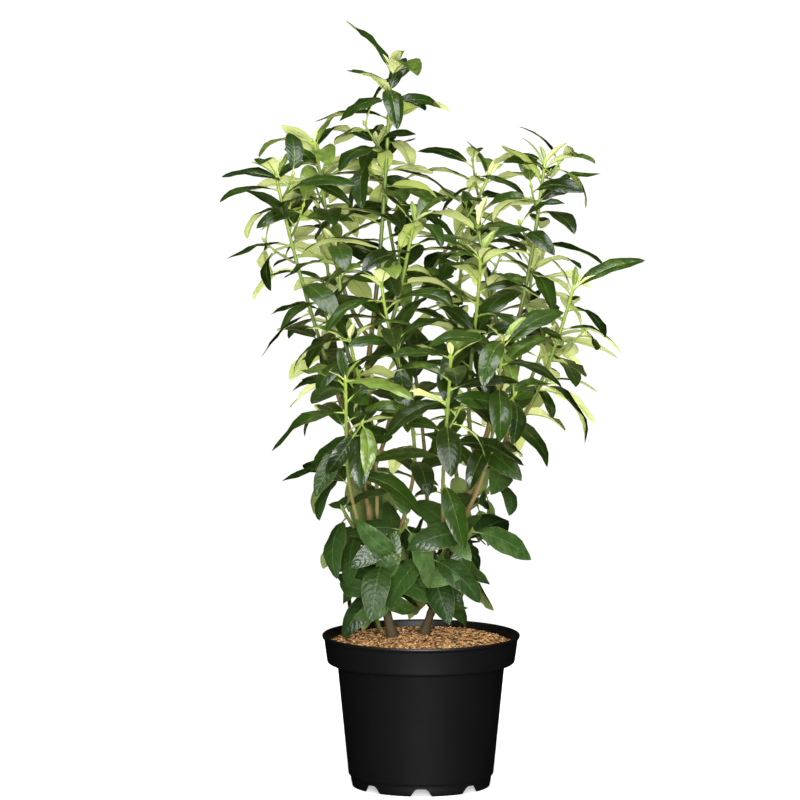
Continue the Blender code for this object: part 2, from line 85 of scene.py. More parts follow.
HUB_RADIUS = 0.018
EDGE_ROUNDING = 0.0006
SHARP_TURN = math.radians(18)
# Points or sizes that differ by less than this are the same
SAME = 1e-6
DRAIN_NOTCHES = 8
NOTCH_INNER_RADIUS = 0.0925
NOTCH_OUTER_RADIUS = 0.106
NOTCH_TOP = 0.0106
NOTCH_BELOW = -0.002
NOTCH_TOP_HALF = 0.008
NOTCH_FOOT_HALF = 0.0165
NOTCH_ROUNDING = 0.0035


def linear(hex_colour):
    """An sRGB hex colour as linear red, green, blue and alpha."""
    parts = [int(hex_colour[k:k + 2], 16) / 255 for k in (0, 2, 4)]
    return (*[c / 12.92 if c <= 0.04045 else ((c + 0.055) / 1.055) ** 2.4 for c in parts], 1)


def add_node(tree, kind, inputs=None, **settings):
    """Adds a node with its settings, and sets or links its inputs."""
    made = tree.nodes.new(kind)
    for name, value in settings.items():
        setattr(made, name, value)
    for name, value in (inputs or {}).items():
        if isinstance(value, bpy.types.NodeSocket):
            tree.links.new(value, made.inputs[name])
        else:
            made.inputs[name].default_value = value
    return made


def new_finish(name, **values):
    """A material and its node tree, with plain values on the Principled shader's sockets."""
    finish = bpy.data.materials.new(name)
    finish.use_nodes = True
    shader = finish.node_tree.nodes["Principled BSDF"]
    for socket, value in values.items():
        shader.inputs[socket.replace("_", " ")].default_value = value
    return finish, finish.node_tree, shader


def as_mesh(name, shape):
    """A bmesh as a mesh, after which the bmesh is freed."""
    mesh = bpy.data.meshes.new(name)
    shape.to_mesh(mesh)
    shape.free()
    return mesh


def put_in_scene(name, data):
    """A new object in the scene that holds a mesh, a lamp or a camera."""
    thing = bpy.data.objects.new(name, data)
    bpy.context.scene.collection.objects.link(thing)
    return thing


def add_piece(name, shape, finishes, slot_name, *nodes, sharp=0):
    """Puts a shape in the scene as one piece that rides on the pot and stands for CAD nodes.

    Edges that turn by more than the given angle stay sharp, and none does where it is 0.
    """
    mesh = shape if isinstance(shape, bpy.types.Mesh) else as_mesh(name, shape)
    mesh.name = name
    for finish in finishes:
        mesh.materials.append(finish)
    mesh.shade_smooth()
    if sharp:
        mesh.set_sharp_from_angle(angle=math.radians(sharp))
    piece = put_in_scene(name, mesh)
    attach(piece, "root")
    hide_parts(*nodes)
    return piece


# Moulded black polypropylene: nearly black, with a soft satin gloss from a finely
# etched mould, so that it shows one broad highlight and no sharp reflection. The etching
# is too fine to show, so it is drawn 1 mm wide, with clouds of 55 mm in the tone.
pot_plastic, tree, shader = new_finish("moulded_black_polypropylene", Roughness=0.42, IOR=1.49)
coords = add_node(tree, "ShaderNodeTexCoord")
etched = add_node(tree, "ShaderNodeTexNoise", {
    "Vector": coords.outputs["Object"], "Scale": 900, "Detail": 2})
cloudy = add_node(tree, "ShaderNodeTexNoise", {
    "Vector": coords.outputs["Object"], "Scale": 18, "Detail": 3})
shade = add_node(tree, "ShaderNodeMix", {
    "Factor": cloudy.outputs["Fac"], "A": linear("060607"), "B": linear("0A0A0B")}, data_type="RGBA")
tree.links.new(shade.outputs["Result"], shader.inputs["Base Color"])
relief = add_node(tree, "ShaderNodeBump", {
    "Height": etched.outputs["Fac"], "Strength": 0.06, "Distance": 0.0004})
tree.links.new(relief.outputs["Normal"], shader.inputs["Normal"])

foot_inside = FOOT_RADIUS - FOOT_WALL
profile = (
    (0, 0), (HUB_RADIUS, 0), (HUB_RADIUS, FLOOR_UNDERSIDE), (foot_inside, FLOOR_UNDERSIDE),
    (foot_inside, 0), (FOOT_RADIUS, 0), *FOOT_RING, (WALL_FOOT_RADIUS, WALL_FOOT),
    (WALL_TOP_RADIUS, SHOULDER), *SHOULDER_EDGE, (COLLAR_FOOT_RADIUS, COLLAR_FOOT),
    *[(RIM_RADIUS - inward, POT_HEIGHT - down) for inward, down in RIM_ROLL],
    (COLLAR_FOOT_RADIUS - WALL, COLLAR_FOOT_INSIDE), SHOULDER_INSIDE,
    (WALL_TOP_RADIUS - WALL, SHOULDER + WALL), (FLOOR_RADIUS, POT_FLOOR), (0, POT_FLOOR),
)
pot = bmesh.new()
marks = [pot.verts.new((radius, 0, height)) for radius, height in profile]
lines = [pot.edges.new(pair) for pair in zip(marks, marks[1:])]
bmesh.ops.spin(pot, geom=marks + lines, cent=(0, 0, 0), axis=(0, 0, 1), angle=math.tau,
               steps=POT_STEPS, use_merge=True)
bmesh.ops.remove_doubles(pot, verts=pot.verts, dist=SAME)
bmesh.ops.recalc_face_normals(pot, faces=pot.faces)


def is_sharp_ring(edge):
    """Whether an edge runs level round the pot where its wall turns sharply, past the hub."""
    first, second = [corner.co for corner in edge.verts]
    return (
        abs(first.z - second.z) < SAME and abs(first.xy.length - second.xy.length) < SAME
        and first.xy.length > 1.5 * HUB_RADIUS and edge.calc_face_angle(0) > SHARP_TURN
    )


rings = [edge for edge in pot.edges if is_sharp_ring(edge)]
bmesh.ops.bevel(pot, geom=rings, offset=EDGE_ROUNDING, affect="EDGES", segments=2, profile=0.5,
                material=-1, clamp_overlap=True)
pot_piece = add_piece("nursery_pot", pot, [pot_plastic], "black_plastic", "pot", sharp=50)

# Each drain notch is cut by a block that widens towards the ground, with rounded top edges
notch = bmesh.new()
for turn in range(DRAIN_NOTCHES):
    block = bmesh.ops.create_cube(notch, size=1)["verts"]
    for corner in block:
        half = NOTCH_TOP_HALF if corner.co.z > 0 else NOTCH_FOOT_HALF
        corner.co = Vector((
            NOTCH_INNER_RADIUS if corner.co.x < 0 else NOTCH_OUTER_RADIUS,
            half if corner.co.y > 0 else -half,
            NOTCH_TOP if corner.co.z > 0 else NOTCH_BELOW,
        ))
    tops = [
        edge for edge in notch.edges
        if all(corner in block and corner.co.z > 0 for corner in edge.verts)
        and abs(edge.verts[0].co.x - edge.verts[1].co.x) > SAME
    ]
    made = bmesh.ops.bevel(notch, geom=tops, offset=NOTCH_ROUNDING, affect="EDGES", segments=4,
                           profile=0.5, material=-1)
    corners = {corner for corner in block if corner.is_valid} | set(made["verts"])
    bmesh.ops.rotate(notch, verts=list(corners), cent=(0, 0, 0),
                     matrix=Matrix.Rotation(math.tau * turn / DRAIN_NOTCHES, 3, "Z"))
cutters = put_in_scene("notch_cutters", as_mesh("notch_cutters", notch))
cut = pot_piece.modifiers.new("notches", "BOOLEAN")
cut.operation = "DIFFERENCE"
cut.solver = "EXACT"
cut.object = cutters
graph = bpy.context.evaluated_depsgraph_get()
whole = bpy.data.meshes.new_from_object(pot_piece.evaluated_get(graph))
pot_piece.modifiers.clear()
pot_piece.data = whole
bpy.data.objects.remove(cutters, do_unlink=True)


# Growing medium
# Moist, fibrous peat mix that the roots hold together. It fills the pot to a finger's
# breadth below the rim and shows only if the mulch is moved.

# Moist peat: matt and dark brown, in crumbs about 4 mm wide
peat, tree, shader = new_finish("moist_peat_mix", Roughness=0.95, IOR=1.4)
coords = add_node(tree, "ShaderNodeTexCoord")
crumbs = add_node(tree, "ShaderNodeTexNoise", {
    "Vector": coords.outputs["Object"], "Scale": 260, "Detail": 5})
shade = add_node(tree, "ShaderNodeMix", {
    "Factor": crumbs.outputs["Fac"], "A": linear("1C120A"), "B": linear("3B2817")}, data_type="RGBA")
tree.links.new(shade.outputs["Result"], shader.inputs["Base Color"])
relief = add_node(tree, "ShaderNodeBump", {
    "Height": crumbs.outputs["Fac"], "Strength": 0.8, "Distance": 0.002})
tree.links.new(relief.outputs["Normal"], shader.inputs["Normal"])
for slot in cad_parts["growing_medium"].material_slots:
    slot.material = peat


# Bark mulch
# Fine pine bark, sieved to chips 4-11 mm long and strewn two or three deep over a low
# mound. The chips are tan where freshly broken, and red-brown or dark where weathered.

MULCH_RADIUS = 0.1305
MULCH_CROWN = 0.2095
LEVEL_RADIUS = 0.095
EDGE_WIDTH = 0.0375
EDGE_DROP = 0.0105
EDGE_CURVE = 1.8
BED_RADIUS = MULCH_RADIUS + 0.001
BED_SIDES = 64
BED_CUTS = 6
BED_UNDERSIDE = 0.1865
BED_SINK = 0.0030
BED_LUMPS_PER_METRE = 160
BED_LUMP_HEIGHT = 0.0012
CHIP_SEED = 41
CHIPS = 7600
CHIP_LENGTHS = (0.0045, 0.0110)
CHIP_WIDTHS = (0.0018, 0.0040)
CHIP_THICKNESSES = (0.0008, 0.0019)
CHIP_END_WIDTH = 0.62
CHIP_END_THICKNESS = 0.75
CHIP_CURL = 0.12
CHIP_ROLL = 0.30
CHIP_PITCH = 0.28
CHIP_EDGE_GAP = 0.002
CHIP_SINK = 0.0024
CHIP_LAYERS = 0.0034
DEEP_LAYERS = 0.35
# How many chips of a hundred in the upper layers are tan, ginger, brown and dark
CHIP_MIX = (24, 31, 27, 18)


def mulch_height(radius):
    """The top of the mound: level in the middle, falling away near the collar."""
    return MULCH_CROWN - EDGE_DROP * max(0.0, (radius - LEVEL_RADIUS) / EDGE_WIDTH) ** EDGE_CURVE


def bark_finish(name, light, dark, roughness):
    """Broken pine bark: matt, with streaks about 2 mm wide."""
    finish, tree, shader = new_finish(name, Roughness=roughness, IOR=1.45)
    coords = add_node(tree, "ShaderNodeTexCoord")
    streaks = add_node(tree, "ShaderNodeTexNoise", {
        "Vector": coords.outputs["Object"], "Scale": 420, "Detail": 3})
    shade = add_node(tree, "ShaderNodeMix", {
        "Factor": streaks.outputs["Fac"], "A": linear(dark), "B": linear(light)}, data_type="RGBA")
    tree.links.new(shade.outputs["Result"], shader.inputs["Base Color"])
    return finish


def joined(points, faces, uv=None, sides=None, tones=None):
    """One mesh out of small shapes with the same faces, whose points are given for each.

    The uv places and material sides are those of one shape, and the tones one for each.
    """
    count, size = len(points), len(points[0])
    mesh = bpy.data.meshes.new("joined")
    mesh.from_pydata(
        np.concatenate(points).tolist(), [],
        [[k + n * size for k in face] for n in range(count) for face in faces],
    )
    if uv is not None:
        layer = mesh.uv_layers.new(name="across_and_along")
        layer.uv.foreach_set("vector", np.tile(uv, (count, 1)).ravel())
        mesh.polygons.foreach_set("material_index", np.tile(sides, count))
    if tones is not None:
        tone = mesh.attributes.new("tone", "FLOAT", "POINT")
        tone.data.foreach_set("value", np.repeat(tones, size))
    return mesh


chip_finishes = [
    bark_finish("pine_bark_tan", "EFC994", "C8985E", 0.8),
    bark_finish("pine_bark_ginger", "D2A066", "9A6836", 0.82),
    bark_finish("pine_bark_brown", "96693C", "5F3E20", 0.85),
    bark_finish("pine_bark_dark", "46301C", "281A0E", 0.9),
]
bed = bmesh.new()
bmesh.ops.create_circle(bed, cap_ends=True, cap_tris=True, segments=BED_SIDES, radius=BED_RADIUS)
bmesh.ops.subdivide_edges(bed, edges=bed.edges, cuts=BED_CUTS, use_grid_fill=True)
for corner in bed.verts:
    rough = noise.noise(corner.co * BED_LUMPS_PER_METRE) * BED_LUMP_HEIGHT
    corner.co.z = mulch_height(corner.co.xy.length) - BED_SINK + rough
bmesh.ops.recalc_face_normals(bed, faces=bed.faces)
rim = [edge for edge in bed.edges if edge.is_boundary]
walls = bmesh.ops.extrude_edge_only(bed, edges=rim)["geom"]
for corner in {thing for thing in walls if isinstance(thing, bmesh.types.BMVert)}:
    corner.co.z = BED_UNDERSIDE
bmesh.ops.holes_fill(bed, edges=[edge for edge in bed.edges if edge.is_boundary])
bmesh.ops.recalc_face_normals(bed, faces=bed.faces)
# The bed under the chips takes the darkest bark finish: painted shade in the gaps between chips
add_piece("mulch_bed", bed, [chip_finishes[3]], "bark_chips", "bark_mulch")

# One chip: a splinter, narrower and thinner at its ends, and curled upwards
chip = bmesh.new()
bmesh.ops.create_cube(chip, size=1)
long_edges = [edge for edge in chip.edges if abs(edge.verts[0].co.x - edge.verts[1].co.x) > 0.5]
bmesh.ops.subdivide_edges(chip, edges=long_edges, cuts=1)
for corner in chip.verts:
    if abs(corner.co.x) > 0.4:
        corner.co.y *= CHIP_END_WIDTH
        corner.co.z *= CHIP_END_THICKNESS
    corner.co.z += CHIP_CURL * corner.co.x * corner.co.x
chip.verts.index_update()
chip_points = np.array([corner.co for corner in chip.verts])
chip_faces = [[corner.index for corner in face.verts] for face in chip.faces]
chip.free()

chance = random.Random(CHIP_SEED)
points, tones = [], []
for count in range(CHIPS):
    radius = MULCH_RADIUS * math.sqrt(chance.random())
    bearing = chance.uniform(0, math.tau)
    layer = chance.random()
    size = Matrix.Diagonal([
        chance.uniform(*span) for span in (CHIP_LENGTHS, CHIP_WIDTHS, CHIP_THICKNESSES)])
    turn = Matrix.Rotation(chance.uniform(0, math.tau), 3, "Z")
    roll = Matrix.Rotation(chance.gauss(0, CHIP_ROLL), 3, "X")
    pitch = Matrix.Rotation(chance.gauss(0, CHIP_PITCH), 3, "Y")
    radius = min(radius, MULCH_RADIUS - CHIP_EDGE_GAP)
    height = mulch_height(radius) - CHIP_SINK + CHIP_LAYERS * layer
    at = np.array((radius * math.cos(bearing), radius * math.sin(bearing), height))
    points.append(chip_points @ np.array(turn @ (roll @ pitch) @ size).T + at)
    # Chips in the lowest layers are only brown or dark: painted shade under the chips above them
    if layer > DEEP_LAYERS:
        tones.append(chance.choices(range(len(CHIP_MIX)), CHIP_MIX)[0])
    else:
        tones.append(2 + count % 2)
mesh = joined(points, chip_faces)
mesh.polygons.foreach_set("material_index", np.repeat(tones, len(chip_faces)))
add_piece("bark_chips", mesh, chip_finishes, "bark_chips", "bark_mulch", sharp=30)


# Woody stems and boughs
# Two stems rise from the mulch with a slight flare at the root, and boughs leave them.
# The bark is thin and tan-brown, with fine lengthwise cracks, pores and old leaf scars.

CLEARANCE = 0.0003
MULCH_TOP = 0.210
FLARE = 0.0032
FLARE_SHARE = 0.07
BRANCH_RISE = math.radians(45)
UPWARD_PULL = 0.35
PARTS_OF_LENGTH = 12
NEAR_X_AXIS = 0.9
BARK_ROW = 0.0035
FEWEST_ROWS = 12
STEM_SIDES = 18
BOUGH_SIDES = 12
SCAR_SPACING = 0.024
SCAR_PLACES = (0.05, 0.98)
SCAR_HALF_LENGTH = 0.0022
SCAR_SWELLING = 0.10
CRACKS_PER_METRE = Vector((520, 520, 90))
CRACK_DEPTH = 0.00022
KNOBS_PER_METRE = 130
KNOB_HEIGHT = 0.00030
STEM_GREENS_FROM = 0.90
BOUGH_GREENS_FROM = 0.75
GREENEST_BARK = 0.75
WOODY_STEMS = (
    ("main_stem", (-0.040, 0.005), (-0.069, 0.015, 0.648), (-0.021, 0.000, 0.0), 0.0066, 0.0036),
    ("right_stem", (0.004, 0.030), (0.132, 0.032, 0.637), (0.004, 0.000, 0.0), 0.0058, 0.0031),
)
BOUGHS = (
    ("bough_left", "main_stem", 0.61, (-0.114, 0.000, 0.545), 0.0034, 0.0028),
    ("bough_front_left", "main_stem", 0.33, (-0.063, -0.034, 0.465), 0.0032, 0.0026),
    ("bough_front", "main_stem", 0.20, (-0.014, -0.050, 0.430), 0.0034, 0.0027),
    ("bough_low_left", "main_stem", 0.24, (-0.095, -0.070, 0.410), 0.0032, 0.0026),
    ("bough_back_left", "main_stem", 0.42, (-0.105, 0.095, 0.500), 0.0032, 0.0026),
    ("bough_behind", "main_stem", 0.52, (-0.024, 0.085, 0.630), 0.0032, 0.0025),
    ("bough_right", "right_stem", 0.55, (0.140, -0.004, 0.516), 0.0034, 0.0028),
    ("bough_front_right", "right_stem", 0.36, (0.088, -0.060, 0.455), 0.0032, 0.0026),
    ("bough_front_middle", "right_stem", 0.22, (0.030, -0.075, 0.410), 0.0032, 0.0026),
    ("bough_back_middle", "right_stem", 0.20, (0.004, 0.085, 0.480), 0.0032, 0.0026),
    ("bough_back", "right_stem", 0.40, (0.045, 0.125, 0.500), 0.0032, 0.0026),
    ("bough_back_right", "right_stem", 0.48, (0.120, 0.100, 0.510), 0.0032, 0.0026),
)


class Limb:
    """A round, tapering stem along a smooth curve of four control points."""

    def __init__(self, controls, foot_radius, tip_radius, flare=0.0):
        self.controls = controls
        self.foot_radius = foot_radius
        self.tip_radius = tip_radius
        self.flare = flare

    def centre(self, share):
        a, b, c, d = self.controls
        rest = 1 - share
        return a * rest**3 + b * 3 * rest**2 * share + c * 3 * rest * share**2 + d * share**3

    def heading(self, share):
        a, b, c, d = self.controls
        rest = 1 - share
        slope = (b - a) * rest**2 + (c - b) * 2 * rest * share + (d - c) * share**2
        return slope.normalized()

    def radius(self, share):
        swell = self.flare * max(0.0, 1 - share / FLARE_SHARE) ** 2
        return self.foot_radius + share * (self.tip_radius - self.foot_radius) + swell

    def length(self):
        marks = [self.centre(step / PARTS_OF_LENGTH) for step in range(PARTS_OF_LENGTH + 1)]
        return sum((b - a).length for a, b in zip(marks, marks[1:]))


def across(direction):
    """Two unit directions square to the given one, the first as near to +X as it can be."""
    right = Vector((1, 0, 0))
    if abs(direction.x) > NEAR_X_AXIS:
        right = Vector((0, 0, -1))
    first = (right - direction * right.dot(direction)).normalized()
    return first, direction.cross(first)


def stem_from_ground(place, tip, bow, foot_radius, tip_radius):
    """A woody stem with its flat foot and root flare on the mulch."""
    foot = Vector((*place, MULCH_TOP + CLEARANCE))
    tip = Vector(tip)
    third = (tip - foot) / 3
    push = Vector(bow) * 4 / 3
    controls = (foot, foot + third + push, tip - third + push, tip)
    return Limb(controls, foot_radius, tip_radius, FLARE)


def limb_from_limb(parent, place, tip, foot_radius, tip_radius):
    """A limb that grows on from its parent's end, or leaves its side, and turns upwards."""
    tip = Vector(tip)
    along = parent.heading(place)
    middle = parent.centre(place)
    if place == 1:
        start = along
        foot = middle + along * CLEARANCE
        foot_radius = min(foot_radius, parent.tip_radius)
    else:
        aim = tip - middle
        sideways = (aim - along * aim.dot(along)).normalized()
        start = sideways * math.cos(BRANCH_RISE) + along * math.sin(BRANCH_RISE)
        foot = middle + sideways * (parent.radius(place) + CLEARANCE)
    span = tip - foot
    finish = (span.normalized() + Vector((0, 0, UPWARD_PULL))).normalized()
    reach = span.length / 3
    controls = (foot, foot + start * reach, tip - finish * reach, tip)
    return Limb(controls, foot_radius, tip_radius)


limbs = {}
for name, place, tip, bow, foot_radius, tip_radius in WOODY_STEMS:
    limbs[name] = stem_from_ground(place, tip, bow, foot_radius, tip_radius)
for name, parent, place, tip, foot_radius, tip_radius in BOUGHS:
    limbs[name] = limb_from_limb(limbs[parent], place, tip, foot_radius, tip_radius)


def limb_shape(limb, shares, sides, radius_at, bud=()):
    """A closed round skin bridged over circles along a limb, with each point's share kept.

    An end bud is more circles: pairs of their distance past the tip and their radius.
    """
    shape = bmesh.new()
    kept_share = shape.verts.layers.float.new("share")
    loops = []
    rows = [(share, 0.0, radius_at(share)) for share in shares]
    rows += [(1.0, past, radius) for past, radius in bud]
    for number, (share, past, radius) in enumerate(rows):
        heading = limb.heading(share)
        first, second = across(heading)
        stand = Matrix((first, second, heading)).transposed().to_4x4()
        stand.translation = limb.centre(share) + heading * past
        made = bmesh.ops.create_circle(shape, cap_ends=number in (0, len(rows) - 1), segments=sides,
                                       radius=radius, matrix=stand)["verts"]
        for corner in made:
            corner[kept_share] = share
        loops.append(list({edge for corner in made for edge in corner.link_edges}))
    for lower, upper in zip(loops, loops[1:]):
        bmesh.ops.bridge_loops(shape, edges=lower + upper)
    bmesh.ops.recalc_face_normals(shape, faces=shape.faces)
    return shape


def join_shapes(shapes):
    """One bmesh out of several, which are freed."""
    whole = bmesh.new()
    for shape in shapes:
        mesh = as_mesh("part", shape)
        whole.from_mesh(mesh)
        bpy.data.meshes.remove(mesh)
    return whole


# Thin laurel bark: tan-brown cork over green, in streaks 1 mm wide and 9 mm long, with
# pale pores 2 mm high across them and patches of 26 mm. It is matt and green near the tips,
# with painted shade that darkens it towards the foot.
bark, tree, shader = new_finish("laurel_bark", Roughness=0.78, IOR=1.45)
coords = add_node(tree, "ShaderNodeTexCoord")
long_way = add_node(tree, "ShaderNodeMapping", {
    "Vector": coords.outputs["Object"], "Scale": (900, 900, 110)})
streaks = add_node(tree, "ShaderNodeTexNoise", {
    "Vector": long_way.outputs["Vector"], "Scale": 1, "Detail": 4})
wide_way = add_node(tree, "ShaderNodeMapping", {
    "Vector": coords.outputs["Object"], "Scale": (260, 260, 900)})
pores = add_node(tree, "ShaderNodeTexVoronoi", {
    "Vector": wide_way.outputs["Vector"], "Scale": 0.55})
patches = add_node(tree, "ShaderNodeTexNoise", {
    "Vector": coords.outputs["Object"], "Scale": 38, "Detail": 3})
tan = add_node(tree, "ShaderNodeMix", {
    "Factor": streaks.outputs["Fac"], "A": linear("55401F"), "B": linear("A08858")}, data_type="RGBA")
tanned = add_node(tree, "ShaderNodeMapRange", {
    "Value": patches.outputs["Fac"], "From Min": 0.42, "From Max": 0.62})
mottled = add_node(tree, "ShaderNodeMix", {
    "Factor": tanned.outputs["Result"], "A": tan.outputs["Result"], "B": linear("7C6E42")},
    data_type="RGBA")
pore = add_node(tree, "ShaderNodeMapRange", {
    "Value": pores.outputs["Distance"], "From Min": 0.16, "From Max": 0.06, "To Max": 0.7})
dotted = add_node(tree, "ShaderNodeMix", {
    "Factor": pore.outputs["Result"], "A": mottled.outputs["Result"], "B": linear("BBA476")},
    data_type="RGBA")
tint = add_node(tree, "ShaderNodeAttribute", attribute_name="tint")
greened = add_node(tree, "ShaderNodeMix", {
    "Factor": tint.outputs["Fac"], "A": dotted.outputs["Result"], "B": linear("5E6A30")},
    data_type="RGBA")
# Painted shade: the bark darkens below 0.40 m, most of all at the foot
height = add_node(tree, "ShaderNodeSeparateXYZ", {"Vector": coords.outputs["Object"]})
painted_foot_shade = add_node(tree, "ShaderNodeMapRange", {
    "Value": height.outputs["Z"], "From Min": 0.40, "From Max": 0.22, "To Max": 0.8})
foot_shaded_bark = add_node(tree, "ShaderNodeMix", {
    "Factor": painted_foot_shade.outputs["Result"], "A": greened.outputs["Result"], "B": linear("1F160E")},
    data_type="RGBA")
tree.links.new(foot_shaded_bark.outputs["Result"], shader.inputs["Base Color"])
relief = add_node(tree, "ShaderNodeBump", {
    "Height": streaks.outputs["Fac"], "Strength": 0.7, "Distance": 0.0006})
tree.links.new(relief.outputs["Normal"], shader.inputs["Normal"])


def woody_shape(name, sides):
    """A limb with bark relief, and low rings where old leaves and twigs have dropped."""
    limb = limbs[name]
    length = limb.length()
    chance = random.Random(name)
    count = max(FEWEST_ROWS, round(length / BARK_ROW))
    shares = [step / count for step in range(count + 1)]
    scars = [chance.uniform(*SCAR_PLACES) for _ in range(round(length / SCAR_SPACING))]

    def radius_at(share):
        nearness = [math.exp(-((share - at) * length / SCAR_HALF_LENGTH) ** 2) for at in scars]
        return limb.radius(share) * (1 + SCAR_SWELLING * max(nearness, default=0))

    shape = limb_shape(limb, shares, sides, radius_at)
    for corner in shape.verts:
        crack = noise.noise(corner.co * CRACKS_PER_METRE) * CRACK_DEPTH
        knob = noise.noise(corner.co * KNOBS_PER_METRE) * KNOB_HEIGHT
        corner.co += corner.normal * (crack + knob)
    tint = shape.verts.layers.float.new("tint")
    share = shape.verts.layers.float["share"]
    green_from = BOUGH_GREENS_FROM if name.startswith("bough") else STEM_GREENS_FROM
    for corner in shape.verts:
        corner[tint] = GREENEST_BARK * max(0.0, (corner[share] - green_from) / (1 - green_from))
    return shape


for name, *_ in WOODY_STEMS:
    add_piece(name + "_bark", woody_shape(name, STEM_SIDES), [bark], "laurel_bark", name)
bough_names = [name for name, *_ in BOUGHS]
boughs = join_shapes([woody_shape(name, BOUGH_SIDES) for name in bough_names])
add_piece("boughs_bark", boughs, [bark], "laurel_bark", *bough_names)


# Green shoots
# Each tall shoot and low spray is one season's growth: a smooth, round green stem with
# a slight swelling where each leaf is joined to it, and a pointed bud at its tip.

SHOOT_FOOT_RADIUS = 0.0032
SHOOT_TIP_RADIUS = 0.0022
SHOOT_ROW = 0.004
SHOOT_SIDES = 9
SHOOT_LUMPS_PER_METRE = 170
SHOOT_LUMP_HEIGHT = 0.00015
JOINT_HALF_LENGTH = 0.0028
JOINT_SWELLING = 0.16
LOW_TINT = 0.05
LOW_TINT_GAIN = 0.30
# The end bud's rings: their distance past the stem's tip, and their radius
END_BUD = ((0.0015, 0.0025), (0.0040, 0.0023), (0.0070, 0.0013), (0.0090, 0.0003))
TIP_CROWDING = 1.25
LAST_LEAF = 0.99
PLANT_SEED = 951
TALL_SHOOTS = (
    ("foliage_leader", "main_stem", 1.00, (-0.042, 0.020, 1.010), 19, 0.10),
    ("foliage_right_leader", "right_stem", 1.00, (0.174, 0.030, 0.880), 16, 0.10),
    ("foliage_left_outer", "bough_left", 1.00, (-0.203, -0.030, 0.868), 17, 0.14),
    ("foliage_left_inner", "main_stem", 0.97, (-0.150, 0.060, 0.905), 15, 0.12),
    ("foliage_right_outer", "bough_right", 1.00, (0.212, -0.030, 0.706), 13, 0.14),
    ("foliage_middle_right", "right_stem", 0.58, (0.082, -0.050, 0.752), 17, 0.08),
    ("foliage_right_inner", "right_stem", 0.95, (0.081, 0.070, 0.785), 13, 0.12),
    ("foliage_front", "bough_front", 1.00, (-0.055, -0.080, 0.716), 17, 0.06),
    ("foliage_front_left", "bough_front_left", 1.00, (-0.099, -0.080, 0.640), 12, 0.06),
    ("foliage_behind_leader", "bough_back_middle", 1.00, (-0.062, 0.070, 0.905), 18, 0.06),
    ("foliage_behind", "bough_behind", 1.00, (0.096, 0.110, 0.857), 15, 0.08),
    ("foliage_low_left", "bough_low_left", 1.00, (-0.105, -0.145, 0.590), 12, 0.14),
    ("foliage_back_left", "bough_back_left", 1.00, (-0.135, 0.165, 0.735), 12, 0.16),
    ("foliage_back", "bough_back", 1.00, (0.060, 0.205, 0.745), 14, 0.08),
    ("foliage_back_right", "bough_back_right", 1.00, (0.160, 0.170, 0.715), 12, 0.16),
    ("foliage_front_right", "bough_front_right", 1.00, (0.112, -0.150, 0.645), 12, 0.14),
    ("foliage_front_middle", "bough_front_middle", 1.00, (0.040, -0.165, 0.625), 14, 0.08),
    ("foliage_left_middle", "main_stem", 0.82, (-0.118, 0.000, 0.760), 11, 0.12),
    ("foliage_upper_middle", "main_stem", 0.90, (-0.010, -0.030, 0.800), 12, 0.12),
    ("foliage_right_low", "bough_right", 0.55, (0.175, 0.060, 0.625), 9, 0.16),
)
LOW_SPRAYS = (
    ("spray_front_a", "main_stem", 0.13, (-0.055, -0.055, 0.330), 8, 0.12),
    ("spray_front_b", "right_stem", 0.12, (0.012, -0.050, 0.345), 8, 0.12),
    ("spray_front_c", "main_stem", 0.26, (-0.020, -0.080, 0.385), 8, 0.12),
    ("spray_right_b", "right_stem", 0.42, (0.112, 0.045, 0.440), 7, 0.15),
    ("spray_left_a", "main_stem", 0.30, (-0.110, -0.015, 0.395), 8, 0.12),
    ("spray_left_b", "main_stem", 0.46, (-0.120, 0.030, 0.465), 8, 0.12),
    ("spray_left_low", "main_stem", 0.16, (-0.090, 0.045, 0.330), 7, 0.15),
    ("spray_back_a", "main_stem", 0.22, (-0.050, 0.085, 0.370), 8, 0.12),
    ("spray_back_b", "right_stem", 0.16, (0.035, 0.100, 0.350), 8, 0.12),
    ("spray_front_d", "right_stem", 0.26, (0.070, -0.060, 0.370), 8, 0.12),
)
for name, parent, place, tip, *_ in TALL_SHOOTS + LOW_SPRAYS:
    limbs[name] = limb_from_limb(limbs[parent], place, tip, SHOOT_FOOT_RADIUS, SHOOT_TIP_RADIUS)


def is_low(name):
    """Whether a shoot or twig belongs to a low spray, whose wood and leaves are older."""
    return name.startswith("spray")


def leaf_places(count, bare):
    """Where along a shoot its leaves sit, closer together towards the tip."""
    return [
        bare + (1 - bare) * (1 - (1 - rank / (count - 1)) ** TIP_CROWDING) * LAST_LEAF
        for rank in range(count)
    ]


def shoot_shape(name, count, bare):
    """A green stem with a swelling under each leaf, closed by its pointed end bud.

    Its tint runs from the woody foot to the lime tip, and a low spray stays olive.
    """
    shoot = limbs[name]
    length = shoot.length()
    joints = leaf_places(count, bare)
    steps = round(length / SHOOT_ROW)
    shares = [step / steps for step in range(steps + 1)]

    def radius_at(share):
        nearness = [math.exp(-((share - at) * length / JOINT_HALF_LENGTH) ** 2) for at in joints]
        return shoot.radius(share) * (1 + JOINT_SWELLING * max(nearness))

    shape = limb_shape(shoot, shares, SHOOT_SIDES, radius_at, END_BUD)
    tint = shape.verts.layers.float.new("tint")
    share = shape.verts.layers.float["share"]
    for corner in shape.verts:
        corner[tint] = LOW_TINT + LOW_TINT_GAIN * corner[share] if is_low(name) else corner[share]
        lump = noise.noise(corner.co * SHOOT_LUMPS_PER_METRE) * SHOOT_LUMP_HEIGHT
        corner.co += corner.normal * lump
    return shape


